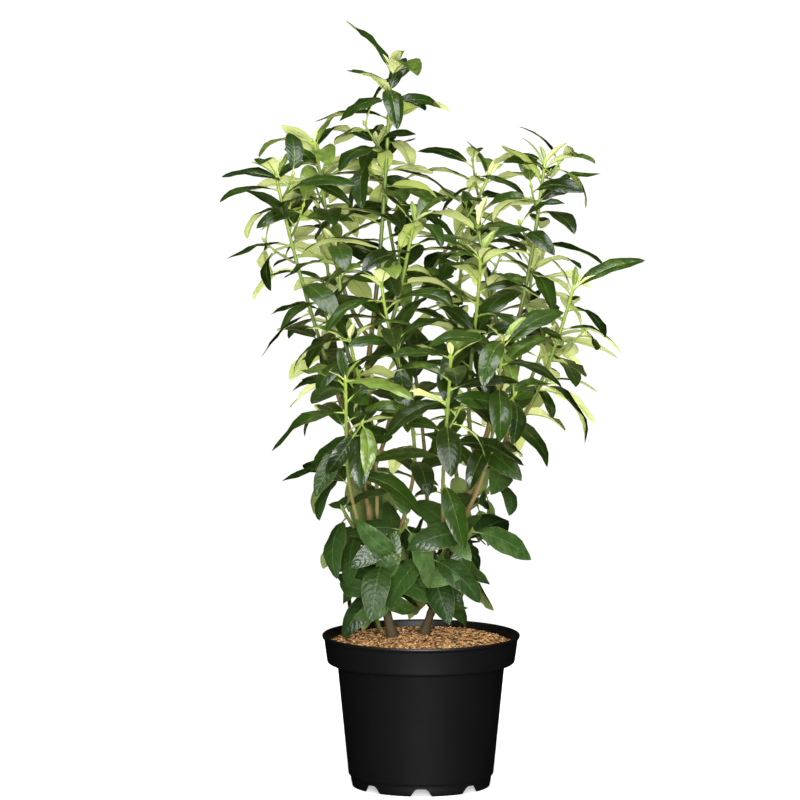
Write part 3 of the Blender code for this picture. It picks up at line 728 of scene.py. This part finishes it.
# This year's wood: a thin green skin, lime near the tip and olive to brown at the foot,
# dulled by a waxy bloom, with red-brown flecks 1.6 mm wide and 8 mm long.
young_wood, tree, shader = new_finish("young_green_wood", Roughness=0.42, IOR=1.45)
coords = add_node(tree, "ShaderNodeTexCoord")
tint = add_node(tree, "ShaderNodeAttribute", attribute_name="tint")
ramp = add_node(tree, "ShaderNodeValToRGB", {"Fac": tint.outputs["Fac"]})
ramp.color_ramp.elements[0].color = linear("74603A")
ramp.color_ramp.elements[1].color = linear("92A844")
for position, colour in ((0.10, "6A6834"), (0.28, "5A6E30"), (0.6, "688234")):
    ramp.color_ramp.elements.new(position).color = linear(colour)
stretched = add_node(tree, "ShaderNodeMapping", {
    "Vector": coords.outputs["Object"], "Scale": (620, 620, 120)})
flecks = add_node(tree, "ShaderNodeTexNoise", {
    "Vector": stretched.outputs["Vector"], "Scale": 1, "Detail": 3})
fleck = add_node(tree, "ShaderNodeMapRange", {
    "Value": flecks.outputs["Fac"], "From Min": 0.56, "From Max": 0.74, "To Max": 0.7})
flecked = add_node(tree, "ShaderNodeMix", {
    "Factor": fleck.outputs["Result"], "A": ramp.outputs["Color"], "B": linear("7A4A26")},
    data_type="RGBA")
tree.links.new(flecked.outputs["Result"], shader.inputs["Base Color"])
relief = add_node(tree, "ShaderNodeBump", {
    "Height": flecks.outputs["Fac"], "Strength": 0.35, "Distance": 0.0004})
tree.links.new(relief.outputs["Normal"], shader.inputs["Normal"])

shoot_names = [row[0] for row in TALL_SHOOTS + LOW_SPRAYS]
shoots = join_shapes([
    shoot_shape(name, count, bare) for name, _, _, _, count, bare in TALL_SHOOTS + LOW_SPRAYS])
add_piece("green_shoots", shoots, [young_wood], "green_foliage", *shoot_names)


# Side twigs
# Short twigs of the same year leave the shoots by the same rule, with a few leaves each.
# Those on the tall shoots rise, most of them near the crown's top, and the low ones spread.

TWIG_FOOT_RADIUS = 0.0018
TWIG_TIP_RADIUS = 0.0012
TWIG_LEAVES = 4
TWIG_BARE = 0.3
TWIG_PLAY = 0.12
CROWN_TOP = 0.84
TWIGS_NEAR_TOP = 3
TWIGS_IN_FRONT = 2
TwigHabit = collections.namedtuple("TwigHabit", "first_place spacing reaches spread rise")
TALL_TWIGS = TwigHabit(0.50, 0.16, (0.030, 0.050), 0.7, 0.8)
LOW_TWIGS = TwigHabit(0.14, 0.28, (0.020, 0.034), 1.0, 0.4)


def away_from(limb, share, bearing):
    """The unit direction square to a limb, at a bearing round it."""
    first, second = across(limb.heading(share))
    return first * math.cos(bearing) + second * math.sin(bearing)


def grow_twigs(name, count, habit):
    """Adds a shoot's side twigs to the limbs, and returns their names."""
    chance = random.Random(f"{name} twigs {PLANT_SEED}")
    shoot = limbs[name]
    grown = []
    for number in range(count):
        place = habit.first_place + habit.spacing * number + chance.uniform(0, TWIG_PLAY)
        outward = away_from(shoot, place, chance.uniform(0, math.tau))
        reach = chance.uniform(*habit.reaches)
        tip = (shoot.centre(place) + outward * reach * habit.spread
               + shoot.heading(place) * reach * habit.rise)
        twig = f"{name}_twig_{number}"
        limbs[twig] = limb_from_limb(shoot, place, tip, TWIG_FOOT_RADIUS, TWIG_TIP_RADIUS)
        grown.append(twig)
    return grown


twigs = []
for name, *_ in TALL_SHOOTS:
    near_top = limbs[name].centre(1).z > CROWN_TOP
    twigs += grow_twigs(name, TWIGS_NEAR_TOP if near_top else 1, TALL_TWIGS)
for name, *_ in LOW_SPRAYS:
    in_front = name.startswith("spray_front")
    twigs += grow_twigs(name, TWIGS_IN_FRONT if in_front else 1, LOW_TWIGS)
twig_shapes = join_shapes([shoot_shape(twig, TWIG_LEAVES, TWIG_BARE) for twig in twigs])
add_piece("side_twigs", twig_shapes, [young_wood], "green_foliage", *shoot_names)


# Leaves
# Leathery evergreen blades, mostly 8-12 cm long on stalks of 1 cm, set round the stem two
# turns to every five leaves. Each folds up along its sunken midrib and arches over.

SPIRAL = math.radians(144)
SPIRAL_PLAY = math.radians(18)
TALL_LENGTH = 0.110
LOW_LENGTH = 0.098
LENGTH_PLAY = 0.16
TALL_WIDTH = 0.32
LOW_WIDTH = 0.38
STALK_LENGTH = 0.012
TALL_RISE = (math.radians(8), math.radians(42))
LOW_RISE = (math.radians(-18), math.radians(18))
RISE_PLAY = math.radians(20)
ARCH = math.radians(66)
ARCH_PLAY = math.radians(24)
TALL_ROLL = math.radians(20)
LOW_ROLL = math.radians(20)
TALL_FOLD = math.radians(28)
LOW_FOLD = math.radians(10)
FOLD_PLAY = math.radians(8)
# How far round the stem and upwards a leaf may turn to keep clear of its neighbours
WAYS_TO_GROW = tuple(
    (math.radians(round_stem), math.radians(upwards))
    for round_stem, upwards in (
        (0, 0), (12, 0), (-12, 0), (0, 12), (0, -12),
        (22, 10), (-22, 10), (24, -14), (-24, -14), (36, 18), (-36, 18),
    )
)
SAME_POINT = 0.0002
TWIG_LEAF_SHARE = 0.80
FIRST_TWIG_LEAF = 0.3
TWIG_LEAVES_SPAN = 0.6
Leaf = collections.namedtuple("Leaf", "root outward along length width rise arch roll fold")


def leaves_of(name, count, bare):
    """The leaves of a shoot, each as a list of the ways it may grow, first choice first."""
    shoot, low = limbs[name], is_low(name)
    chance = random.Random(f"{name} {PLANT_SEED}")
    turn = chance.uniform(0, math.tau)
    way_round = chance.choice((-1, 1))
    rise_foot, rise_tip = LOW_RISE if low else TALL_RISE
    usual_length = LOW_LENGTH if low else TALL_LENGTH
    width_share = LOW_WIDTH if low else TALL_WIDTH
    usual_fold = LOW_FOLD if low else TALL_FOLD
    roll_play = LOW_ROLL if low else TALL_ROLL
    for rank, place in enumerate(leaf_places(count, bare)):
        share = rank / (count - 1)
        bearing = turn + way_round * rank * SPIRAL + chance.uniform(-1, 1) * SPIRAL_PLAY
        rise = rise_foot + share * (rise_tip - rise_foot) + chance.uniform(-1, 1) * RISE_PLAY
        length = usual_length * (1 + chance.uniform(-1, 1) * LENGTH_PLAY)
        arch = ARCH + chance.uniform(-1, 1) * ARCH_PLAY
        roll = chance.uniform(-1, 1) * roll_play
        fold = usual_fold + chance.uniform(-1, 1) * FOLD_PLAY
        yield [
            Leaf(
                shoot.centre(place), away_from(shoot, place, bearing + more_round),
                shoot.heading(place), length, length * width_share, rise + more_rise, arch, roll, fold,
            )
            for more_round, more_rise in WAYS_TO_GROW
        ]


def midrib(leaf, shares):
    """Points and upward directions at shares of a leaf's length, as arrays."""
    outward, along = np.array(leaf.outward), np.array(leaf.along)
    angle = (leaf.rise - leaf.arch * np.asarray(shares))[:, None]
    run = (math.sin(leaf.rise) - np.sin(angle)) / leaf.arch * leaf.length
    climb = (np.cos(angle) - math.cos(leaf.rise)) / leaf.arch * leaf.length
    return (
        np.array(leaf.root) + run * outward + climb * along,
        np.cos(angle) * along - np.sin(angle) * outward,
    )


def leaf_tip(leaf):
    """The point at the end of a leaf's midrib."""
    return midrib(leaf, [1.0])[0][0]


def kept_way(ways, corners):
    """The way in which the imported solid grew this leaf, known by its point, or None."""
    for leaf in ways:
        if corners.find(leaf_tip(leaf))[2] < SAME_POINT:
            return leaf
    return None


# Each leaf is kept with whether it is low, and its place from a shoot's foot (0) to its tip (1)
leaves = []
for name, _, _, _, count, bare in TALL_SHOOTS + LOW_SPRAYS:
    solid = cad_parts[name].data
    corners = kdtree.KDTree(len(solid.vertices))
    for number, corner in enumerate(solid.vertices):
        corners.insert(corner.co, number)
    corners.balance()
    for rank, ways in enumerate(leaves_of(name, count, bare)):
        leaf = kept_way(ways, corners)
        if leaf:
            leaves.append((is_low(name), rank / (count - 1), leaf))

# Twig leaves are smaller, and one that would leave the crown's reach isn't grown
low_corner, high_corner = cad_box
for twig in twigs:
    for rank, (leaf, *_) in enumerate(leaves_of(twig, TWIG_LEAVES, TWIG_BARE)):
        leaf = leaf._replace(length=leaf.length * TWIG_LEAF_SHARE, width=leaf.width * TWIG_LEAF_SHARE)
        tip = leaf_tip(leaf)
        if all(low_corner[k] < tip[k] < high_corner[k] for k in range(3)) and tip[2] > MULCH_TOP:
            share = FIRST_TWIG_LEAF + TWIG_LEAVES_SPAN * rank / (TWIG_LEAVES - 1)
            leaves.append((is_low(twig), share, leaf))

# A pointed bud sits in the angle between each leaf stalk and its stem
BUD_HALF_WIDTH = 0.0011
BUD_HALF_LENGTH = 0.0024
BUD_LEAN = 0.35
BUD_RISE = 0.0034
BUD_GAP = 0.0006
bud = bmesh.new()
bmesh.ops.create_uvsphere(bud, u_segments=6, v_segments=5, radius=1)
bud.verts.index_update()
bud_points = np.array([corner.co for corner in bud.verts])
bud_faces = [[corner.index for corner in face.verts] for face in bud.faces]
bud.free()
stem_buds = []
for _, share, leaf in leaves:
    reach = SHOOT_FOOT_RADIUS + share * (SHOOT_TIP_RADIUS - SHOOT_FOOT_RADIUS) + BUD_GAP
    axis = (leaf.along + leaf.outward * BUD_LEAN).normalized()
    first, second = across(axis)
    turn = np.array(Matrix((
        first * BUD_HALF_WIDTH, second * BUD_HALF_WIDTH, axis * BUD_HALF_LENGTH)).transposed())
    at = np.array(leaf.root + leaf.outward * reach + leaf.along * BUD_RISE)
    stem_buds.append(bud_points @ turn.T + at)


def freshness(low, share):
    """How fresh the skin of a stalk or bud is: 0 where it is old, up to 1 at a shoot's tip."""
    return 0.0 if low else 0.4 + 0.6 * min(1, share)


bud_tones = [freshness(low, share) for low, share, _ in leaves]

# Small new leaves round the end buds: narrow, steep and folded
YOUNG_SEED = 77
YOUNG_LENGTHS = (0.062, 0.048, 0.034)
YOUNG_WIDTH = 0.30
YOUNG_RISE = math.radians(52)
YOUNG_RISE_STEP = math.radians(8)
YOUNG_RISE_PLAY = math.radians(8)
YOUNG_ARCH = math.radians(32)
YOUNG_FOLD = math.radians(38)
YOUNG_FOOT = 0.985
YOUNG_SPACING = 0.005
YOUNG_TURN_PLAY = 0.3
YOUNG_LENGTH_PLAY = (0.85, 1.15)
YOUNGER_EACH = 0.1
chance = random.Random(YOUNG_SEED)
for name, *_ in TALL_SHOOTS:
    shoot = limbs[name]
    start = chance.uniform(0, math.tau)
    for count, usual_length in enumerate(YOUNG_LENGTHS):
        bearing = start + count * SPIRAL + chance.uniform(-YOUNG_TURN_PLAY, YOUNG_TURN_PLAY)
        length = usual_length * chance.uniform(*YOUNG_LENGTH_PLAY)
        rise = YOUNG_RISE + YOUNG_RISE_STEP * count + chance.uniform(-YOUNG_RISE_PLAY, YOUNG_RISE_PLAY)
        leaves.append((False, 1.0 + count * YOUNGER_EACH, Leaf(
            shoot.centre(YOUNG_FOOT + YOUNG_SPACING * count), away_from(shoot, 1, bearing),
            shoot.heading(1), length, length * YOUNG_WIDTH, rise, YOUNG_ARCH, 0.0, YOUNG_FOLD,
        )))

# One blade: two skins of four by nine patches that meet at the margin, drawn flat, where x runs
# across it, y along it, and z is 1 on the upper skin and -1 on the lower. Both skins start each
# patch at the corner nearest the midrib's foot, so that they bend along the same lines and don't
# cross, and the patches are shorter towards both ends.
ALMOST_EDGE = 0.99
EVEN_SPACING = 0.45
blade = bmesh.new()
bmesh.ops.create_grid(blade, x_segments=4, y_segments=9, size=1)
upper = list(blade.faces)
for face in upper:
    face.normal_update()
    if face.normal.z < 0:
        face.normal_flip()
lower = bmesh.ops.duplicate(blade, geom=blade.verts[:] + blade.edges[:] + upper)["geom"]
lower_faces = [thing for thing in lower if isinstance(thing, bmesh.types.BMFace)]
bmesh.ops.reverse_faces(blade, faces=lower_faces)
for face in lower_faces:
    face.material_index = 1
lower_corners = {thing for thing in lower if isinstance(thing, bmesh.types.BMVert)}
for corner in blade.verts:
    if max(abs(corner.co.x), abs(corner.co.y)) < ALMOST_EDGE:
        corner.co.z = -1 if corner in lower_corners else 1
    if corner.co.y > ALMOST_EDGE:
        corner.co.x = 0
bmesh.ops.remove_doubles(blade, verts=blade.verts, dist=SAME)
blade.verts.index_update()
blade_points = np.array([corner.co for corner in blade.verts])
blade_faces = []
for face in blade.faces:
    order = [corner.index for corner in face.verts]
    first = min(range(len(order)), key=lambda k: (face.verts[k].co.y, abs(face.verts[k].co.x)))
    blade_faces.append(order[first:] + order[:first])
blade_sides = np.array([face.material_index for face in blade.faces])
blade_u = blade_points[:, 0]
blade_v = (blade_points[:, 1] + 1) / 2
blade_v = EVEN_SPACING * blade_v + (1 - EVEN_SPACING) * (1 - np.cos(math.pi * blade_v)) / 2
blade_uv = np.array([((blade_u[k] + 1) / 2, blade_v[k]) for face in blade_faces for k in face])
blade.free()

# One stalk and rib: a tube of unit radius, whose z counts its rings
RIB_SIDES = 6
RIB_STEPS = 8
rib = bmesh.new()
bmesh.ops.create_circle(rib, segments=RIB_SIDES, radius=1)
ring_edges = rib.edges[:]
for step in range(RIB_STEPS):
    made = bmesh.ops.extrude_edge_only(rib, edges=ring_edges)["geom"]
    ring_edges = [thing for thing in made if isinstance(thing, bmesh.types.BMEdge)
                  and all(corner in made for corner in thing.verts)]
    ring_corners = [thing for thing in made if isinstance(thing, bmesh.types.BMVert)]
    bmesh.ops.translate(rib, verts=ring_corners, vec=(0, 0, 1))
bmesh.ops.recalc_face_normals(rib, faces=rib.faces)
rib.verts.index_update()
rib_points = np.array([corner.co for corner in rib.verts])
rib_faces = [[corner.index for corner in face.verts] for face in rib.faces]
rib.free()


def stalk_share(leaf):
    """The share of a leaf's length that is its stalk, which is shorter on small leaves."""
    return STALK_LENGTH * min(1, leaf.length / LOW_LENGTH) / leaf.length


def rolled(leaf, shares):
    """Midrib points with the directions across and up from the blade, which rolls over."""
    centre, up = midrib(leaf, shares)
    side = np.cross(np.array(leaf.outward), np.array(leaf.along))
    roll = (leaf.roll * shares)[:, None]
    return centre, side * np.cos(roll) + up * np.sin(roll), up * np.cos(roll) - side * np.sin(roll)


SWAY = 0.05
TURN_UP = (-0.45, 0.75)
TURN_FROM = 0.72


def bent(leaf, bend, along):
    """How far the midrib sways aside, and its tip turns up or down, at shares of the blade."""
    sway, turn_up = bend
    return (
        sway * leaf.length * along**2,
        turn_up * leaf.length * np.maximum(along - TURN_FROM, 0) ** 2,
    )


# The outline is v**foot * (1 - v)**point along the blade, widest a little before its middle
TALL_OUTLINE = (0.68, 0.76)
LOW_OUTLINE = (0.60, 0.82)
LEAST_WIDTH = 0.03
LOW_EXTRA_FOLD = 0.10
FOLD_NARROWING = 0.8
TALL_CURL = (0.22, 0.5)
LOW_CURL = (0.22, 0.42)
CURL_POWER = 2.3
WAVES = (1.6, 2.8)
WAVE_HEIGHT = (0.05, 0.17)
WAVE_SHIFT = (0.4, 1.4)
WAVE_POWER = 1.5
HALF_THICKNESS = 0.00022
MARGIN_THINNING = 0.5


def blade_at(leaf, bend, chance, low):
    """The blade's points: folded along the midrib, margins curled down and waved."""
    start = stalk_share(leaf)
    centre, edge, face = rolled(leaf, start + (1 - start) * blade_v)
    foot, point = LOW_OUTLINE if low else TALL_OUTLINE
    widest = (foot / (foot + point)) ** foot * (point / (foot + point)) ** point
    half = leaf.width / 2 * np.maximum(blade_v**foot * (1 - blade_v) ** point / widest, LEAST_WIDTH)
    out = np.abs(blade_u)
    fold = leaf.fold + (LOW_EXTRA_FOLD if low else 0.0)
    curl = chance.uniform(*(LOW_CURL if low else TALL_CURL))
    waves = chance.uniform(*WAVES)
    height = chance.uniform(*WAVE_HEIGHT)
    phase = chance.uniform(0, math.tau)
    shift = np.sign(blade_u) * chance.uniform(*WAVE_SHIFT)
    ripple = height * out**WAVE_POWER * np.sin(math.tau * waves * blade_v + phase + shift)
    sway, turn_up = bent(leaf, bend, blade_v)
    lift = half * (out * math.sin(fold) - curl * out**CURL_POWER + ripple) + turn_up
    thick = HALF_THICKNESS * blade_points[:, 2] * (1 - MARGIN_THINNING * out)
    return (
        centre + edge * (half * blade_u * math.cos(fold * FOLD_NARROWING) + sway)[:, None]
        + face * (lift + thick)[:, None]
    )


STALK_STEPS = 3
STALK_RADIUS = 0.0016
STALK_TAPER = 0.0002
RIB_RADIUS = 0.0009
RIB_TAPER = 5.6
RIB_REACH = 0.9
RIB_SINK = 0.55
THINNEST_RIB = 0.45


def rib_at(leaf, bend):
    """The stalk's points, from inside the stem, and the rib that it becomes under the blade."""
    start = stalk_share(leaf)
    step = rib_points[:, 2]
    past = step - STALK_STEPS
    on_stalk = past <= 0
    share = np.where(
        on_stalk, start * step / STALK_STEPS,
        start + past / (RIB_STEPS - STALK_STEPS) * (RIB_REACH - start))
    centre, edge, face = rolled(leaf, share)
    radius = np.where(on_stalk, STALK_RADIUS - STALK_TAPER * step, RIB_RADIUS * (1 - past / RIB_TAPER))
    radius = radius * (THINNEST_RIB + (1 - THINNEST_RIB) * min(1, leaf.length / LOW_LENGTH))
    drop = np.where(on_stalk, 0.0, -radius * RIB_SINK)
    sway, turn_up = bent(leaf, bend, np.maximum(share - start, 0) / (1 - start))
    return (
        centre + edge * (radius * rib_points[:, 0] + sway)[:, None]
        + face * (radius * rib_points[:, 1] + drop + turn_up)[:, None]
    )


VEIN_SPACES = 9
VEIN_SWEEP = 0.42
VEIN_CURVE = 1.35


def vein_pattern(tree):
    """A mask of midrib and side veins, a swell between them, and the way out to the margin.

    Eight side veins leave each side of the midrib, 11 mm apart, and curve forward to the margin.
    """
    where = add_node(tree, "ShaderNodeUVMap", uv_map="across_and_along")
    split = add_node(tree, "ShaderNodeSeparateXYZ", {"Vector": where.outputs["UV"]})
    centred = add_node(tree, "ShaderNodeMath", {0: split.outputs["X"], 1: 0.5}, operation="SUBTRACT")
    out = add_node(tree, "ShaderNodeMath", {0: centred.outputs[0]}, operation="ABSOLUTE")
    bend = add_node(tree, "ShaderNodeMath", {0: out.outputs[0], 1: VEIN_CURVE}, operation="POWER")
    back = add_node(tree, "ShaderNodeMath", {
        0: bend.outputs[0], 1: -VEIN_SWEEP, 2: split.outputs["Y"]}, operation="MULTIPLY_ADD")
    phase = add_node(tree, "ShaderNodeMath", {0: back.outputs[0], 1: VEIN_SPACES}, operation="MULTIPLY")
    saw = add_node(tree, "ShaderNodeMath", {0: phase.outputs[0], 1: 0.5}, operation="PINGPONG")
    side_vein = add_node(tree, "ShaderNodeMapRange", {
        "Value": saw.outputs[0], "From Min": 0.06, "From Max": 0.015, "To Max": 0.08})
    fade = add_node(tree, "ShaderNodeMapRange", {
        "Value": out.outputs[0], "From Min": 0.46, "From Max": 0.25})
    thin = add_node(tree, "ShaderNodeMath", {
        0: side_vein.outputs["Result"], 1: fade.outputs["Result"]}, operation="MULTIPLY")
    main = add_node(tree, "ShaderNodeMapRange", {
        "Value": out.outputs[0], "From Min": 0.026, "From Max": 0.010, "To Max": 0.38})
    mask = add_node(tree, "ShaderNodeMath", {
        0: thin.outputs[0], 1: main.outputs["Result"]}, operation="MAXIMUM")
    swell = add_node(tree, "ShaderNodeMath", {0: saw.outputs[0], 1: 0.55}, operation="POWER")
    return mask.outputs[0], swell.outputs[0], out.outputs[0]


def leaf_upper(name, shades, pale, roughness, quilting):
    """The waxy upper skin: green and glossy, clouded in patches of 14 mm.

    It is quilted between its sunken side veins, with puckers of 6 mm that break up its shine.
    """
    finish, tree, shader = new_finish(name, Roughness=roughness, IOR=1.43)
    coords = add_node(tree, "ShaderNodeTexCoord")
    veins, swell, out = vein_pattern(tree)
    tone = add_node(tree, "ShaderNodeAttribute", attribute_name="tone")
    cloudy = add_node(tree, "ShaderNodeTexNoise", {
        "Vector": coords.outputs["Object"], "Scale": 70, "Detail": 3})
    mixed = add_node(tree, "ShaderNodeMath", {
        0: cloudy.outputs["Fac"], 1: 0.35, 2: tone.outputs["Fac"]}, operation="MULTIPLY_ADD")
    ramp = add_node(tree, "ShaderNodeValToRGB", {"Fac": mixed.outputs[0]})
    ramp.color_ramp.elements[0].position = 0.15
    ramp.color_ramp.elements[0].color = linear(shades[0])
    ramp.color_ramp.elements[1].color = linear(shades[2])
    ramp.color_ramp.elements.new(0.55).color = linear(shades[1])
    veined = add_node(tree, "ShaderNodeMix", {
        "Factor": veins, "A": ramp.outputs["Color"], "B": linear(pale)}, data_type="RGBA")
    margin = add_node(tree, "ShaderNodeMapRange", {
        "Value": out, "From Min": 0.475, "From Max": 0.5, "To Max": 0.30})
    edged = add_node(tree, "ShaderNodeMix", {
        "Factor": margin.outputs["Result"], "A": veined.outputs["Result"], "B": linear("8E9A4A")},
        data_type="RGBA")
    tree.links.new(edged.outputs["Result"], shader.inputs["Base Color"])
    puckers = add_node(tree, "ShaderNodeTexNoise", {
        "Vector": coords.outputs["Object"], "Scale": 170, "Detail": 2, "Roughness": 0.6})
    quilted = add_node(tree, "ShaderNodeMath", {
        0: swell, 1: puckers.outputs["Fac"]}, operation="MULTIPLY")
    height = add_node(tree, "ShaderNodeMath", {
        0: puckers.outputs["Fac"], 1: 0.35, 2: quilted.outputs[0]}, operation="MULTIPLY_ADD")
    relief = add_node(tree, "ShaderNodeBump", {
        "Height": height.outputs[0], "Strength": quilting, "Distance": 0.0022})
    tree.links.new(relief.outputs["Normal"], shader.inputs["Normal"])
    return finish


def leaf_under(name, shades, pale):
    """The matt, paler underside, with its rib and side veins raised."""
    finish, tree, shader = new_finish(name, Roughness=0.62, IOR=1.45)
    veins, swell, _ = vein_pattern(tree)
    tone = add_node(tree, "ShaderNodeAttribute", attribute_name="tone")
    ramp = add_node(tree, "ShaderNodeValToRGB", {"Fac": tone.outputs["Fac"]})
    ramp.color_ramp.elements[0].color = linear(shades[0])
    ramp.color_ramp.elements[1].color = linear(shades[1])
    ramp.color_ramp.elements[1].position = 0.60
    veined = add_node(tree, "ShaderNodeMix", {
        "Factor": veins, "A": ramp.outputs["Color"], "B": linear(pale)}, data_type="RGBA")
    tree.links.new(veined.outputs["Result"], shader.inputs["Base Color"])
    relief = add_node(tree, "ShaderNodeBump", {
        "Height": swell, "Strength": 0.4, "Distance": -0.0010})
    tree.links.new(relief.outputs["Normal"], shader.inputs["Normal"])
    return finish


upper_skin = leaf_upper(
    "waxy_upper_leaf_skin", ("0A1802", "243B0B", "8EA54A"), "64803A", 0.29, 0.28)
old_skin = leaf_upper(
    "old_upper_leaf_skin", ("0E1F06", "2E481B", "6E8650"), "5A784A", 0.36, 0.50)
# The fresh underside is pale, and its bright shades also paint in the light that shines through the thin
# blade
under_skin = leaf_under("pale_leaf_underside_with_painted_backlight", ("B2C25E", "F2F6AC"), "EEF2BC")
old_under_skin = leaf_under("dull_old_leaf_underside", ("6F8240", "8C9C56"), "A3B070")

# The smooth skin of stalks, ribs and buds: yellow-green and satin when fresh, dull green when
# old, with specks of 2 mm
stalk_skin, tree, shader = new_finish("leaf_stalk_and_rib", Roughness=0.5, IOR=1.45)
coords = add_node(tree, "ShaderNodeTexCoord")
speckle = add_node(tree, "ShaderNodeTexNoise", {
    "Vector": coords.outputs["Object"], "Scale": 500, "Detail": 2})
fresh = add_node(tree, "ShaderNodeMix", {
    "Factor": speckle.outputs["Fac"], "A": linear("86A03C"), "B": linear("A6BA5C")}, data_type="RGBA")
aged = add_node(tree, "ShaderNodeMix", {
    "Factor": speckle.outputs["Fac"], "A": linear("4E5F2C"), "B": linear("6E7E40")}, data_type="RGBA")
tone = add_node(tree, "ShaderNodeAttribute", attribute_name="tone")
shade = add_node(tree, "ShaderNodeMix", {
    "Factor": tone.outputs["Fac"], "A": aged.outputs["Result"], "B": fresh.outputs["Result"]},
    data_type="RGBA")
tree.links.new(shade.outputs["Result"], shader.inputs["Base Color"])

# Leaves differ in tone, and the new ones round a tip are lighter. The last ones before a tip are lighter
# too, partly as younger growth and partly as painted light for the brightly lit tips
BEND_SEED = 5
TONE_PLAY = 0.42
NEAR_TIP = 0.85
NEAR_TIP_YOUTH_AND_PAINTED_LIGHT = 0.15
NEW_LEAF_LIGHTER = 0.22
chance = random.Random(BEND_SEED)
bends = [(chance.uniform(-SWAY, SWAY), chance.uniform(*TURN_UP)) for _ in leaves]
groups = {"mature_leaves": ([], []), "old_leaves": ([], []), "young_leaves": ([], [])}
for (low, share, leaf), bend in zip(leaves, bends):
    kind = "old_leaves" if low else "young_leaves" if share > 1 else "mature_leaves"
    points, tones = groups[kind]
    points.append(blade_at(leaf, bend, chance, low))
    # Leaves near a tip get extra tone: partly younger growth, partly painted light
    tone = chance.uniform(0, TONE_PLAY) + (NEAR_TIP_YOUTH_AND_PAINTED_LIGHT if share > NEAR_TIP else 0)
    tones.append(tone + (NEW_LEAF_LIGHTER if share > 1 else 0))
for kind, (points, tones) in groups.items():
    old = kind == "old_leaves"
    mesh = joined(points, blade_faces, blade_uv, blade_sides, tones)
    skins = [old_skin, old_under_skin] if old else [upper_skin, under_skin]
    nodes = [name for name in shoot_names if is_low(name) == old]
    add_piece(kind, mesh, skins, "old_foliage" if old else "green_foliage", *nodes, sharp=36)
buds = joined(stem_buds, bud_faces, tones=bud_tones)
add_piece("axil_buds", buds, [stalk_skin], "green_foliage", *shoot_names)
ribs = joined([rib_at(leaf, bend) for (_, _, leaf), bend in zip(leaves, bends)], rib_faces,
              tones=[freshness(low, share) for low, share, _ in leaves])
add_piece("leaf_stalks", ribs, [stalk_skin], "green_foliage", *shoot_names)


# Studio
# The object stands on a plain floor of white paper in a white room. Large soft lamps in
# front, above and behind light it, and the camera looks slightly down through a long lens.

# White paper: matt, with a little light of its own that keeps it as pale as the photo's ground
PAPER_RADIUS = 1.4
PAPER_SIDES = 96
floor = bmesh.new()
bmesh.ops.create_circle(floor, cap_ends=True, segments=PAPER_SIDES, radius=PAPER_RADIUS)
mesh = as_mesh("floor", floor)
paper, tree, shader = new_finish(
    "white_paper_floor", Roughness=0.9, Base_Color=linear("F4F4F4"),
    Emission_Color=linear("FFFFFF"), Emission_Strength=0.45)
mesh.materials.append(paper)
ground = put_in_scene("floor", mesh)
ground.visible_glossy = False

# The room looks white to the camera, but lights the object weakly and is dimmer in its gloss
ROOM_SEEN = 1.05
ROOM_LIGHT = 0.06
ROOM_SHINE = 0.004
WHITE = (1, 1, 1, 1)
world = bpy.data.worlds.new("studio")
world.use_nodes = True
bpy.context.scene.world = world
tree = world.node_tree
ray = add_node(tree, "ShaderNodeLightPath")
seen = add_node(tree, "ShaderNodeBackground", {"Color": WHITE, "Strength": ROOM_SEEN})
dim = add_node(tree, "ShaderNodeMath", {
    0: ray.outputs["Is Glossy Ray"], 1: ROOM_SHINE - ROOM_LIGHT, 2: ROOM_LIGHT},
    operation="MULTIPLY_ADD")
lit = add_node(tree, "ShaderNodeBackground", {"Color": WHITE, "Strength": dim.outputs[0]})
both = add_node(tree, "ShaderNodeMixShader", {
    0: ray.outputs["Is Camera Ray"], 1: lit.outputs[0], 2: seen.outputs[0]})
tree.links.new(both.outputs[0], tree.nodes["World Output"].inputs["Surface"])


def softbox(name, place, aim_height, size, watts, shine=True):
    """A square lamp that faces the plant's middle at a height, and may stay out of reflections."""
    lamp = bpy.data.lights.new(name, "AREA")
    lamp.shape = "SQUARE"
    lamp.size = size
    lamp.energy = watts
    holder = put_in_scene(name, lamp)
    holder.location = place
    aim = Vector((0, 0, aim_height)) - Vector(place)
    holder.rotation_euler = aim.to_track_quat("-Z", "Y").to_euler()
    holder.visible_glossy = shine


softbox("front_softbox", (0.12, -3.4, 0.90), aim_height=0.55, size=1.4, watts=185)
softbox("top_softbox", (0.0, -0.9, 3.0), aim_height=0.5, size=2.0, watts=120)
# The back light only brightens the far side: its shine would grey the leaves seen edge-on
softbox("back_softbox", (-0.6, 3.0, 2.0), aim_height=0.5, size=1.6, watts=90, shine=False)

# The camera stands where the photo's seems to have stood: far off, and a little above the plant
CAMERA_PLACE = (-0.0297, -7.0, 1.29)
CAMERA_DOWN = math.radians(6.05)
LENS_MM = 225.1
SENSOR_MM = 36
lens = bpy.data.cameras.new("camera")
lens.lens = LENS_MM
lens.sensor_width = SENSOR_MM
lens.clip_start = 0.1
lens.clip_end = 50
camera = put_in_scene("camera", lens)
camera.location = CAMERA_PLACE
camera.rotation_euler = (math.radians(90) - CAMERA_DOWN, 0, 0)
bpy.context.scene.camera = camera
bpy.context.scene.view_settings.view_transform = "Standard"
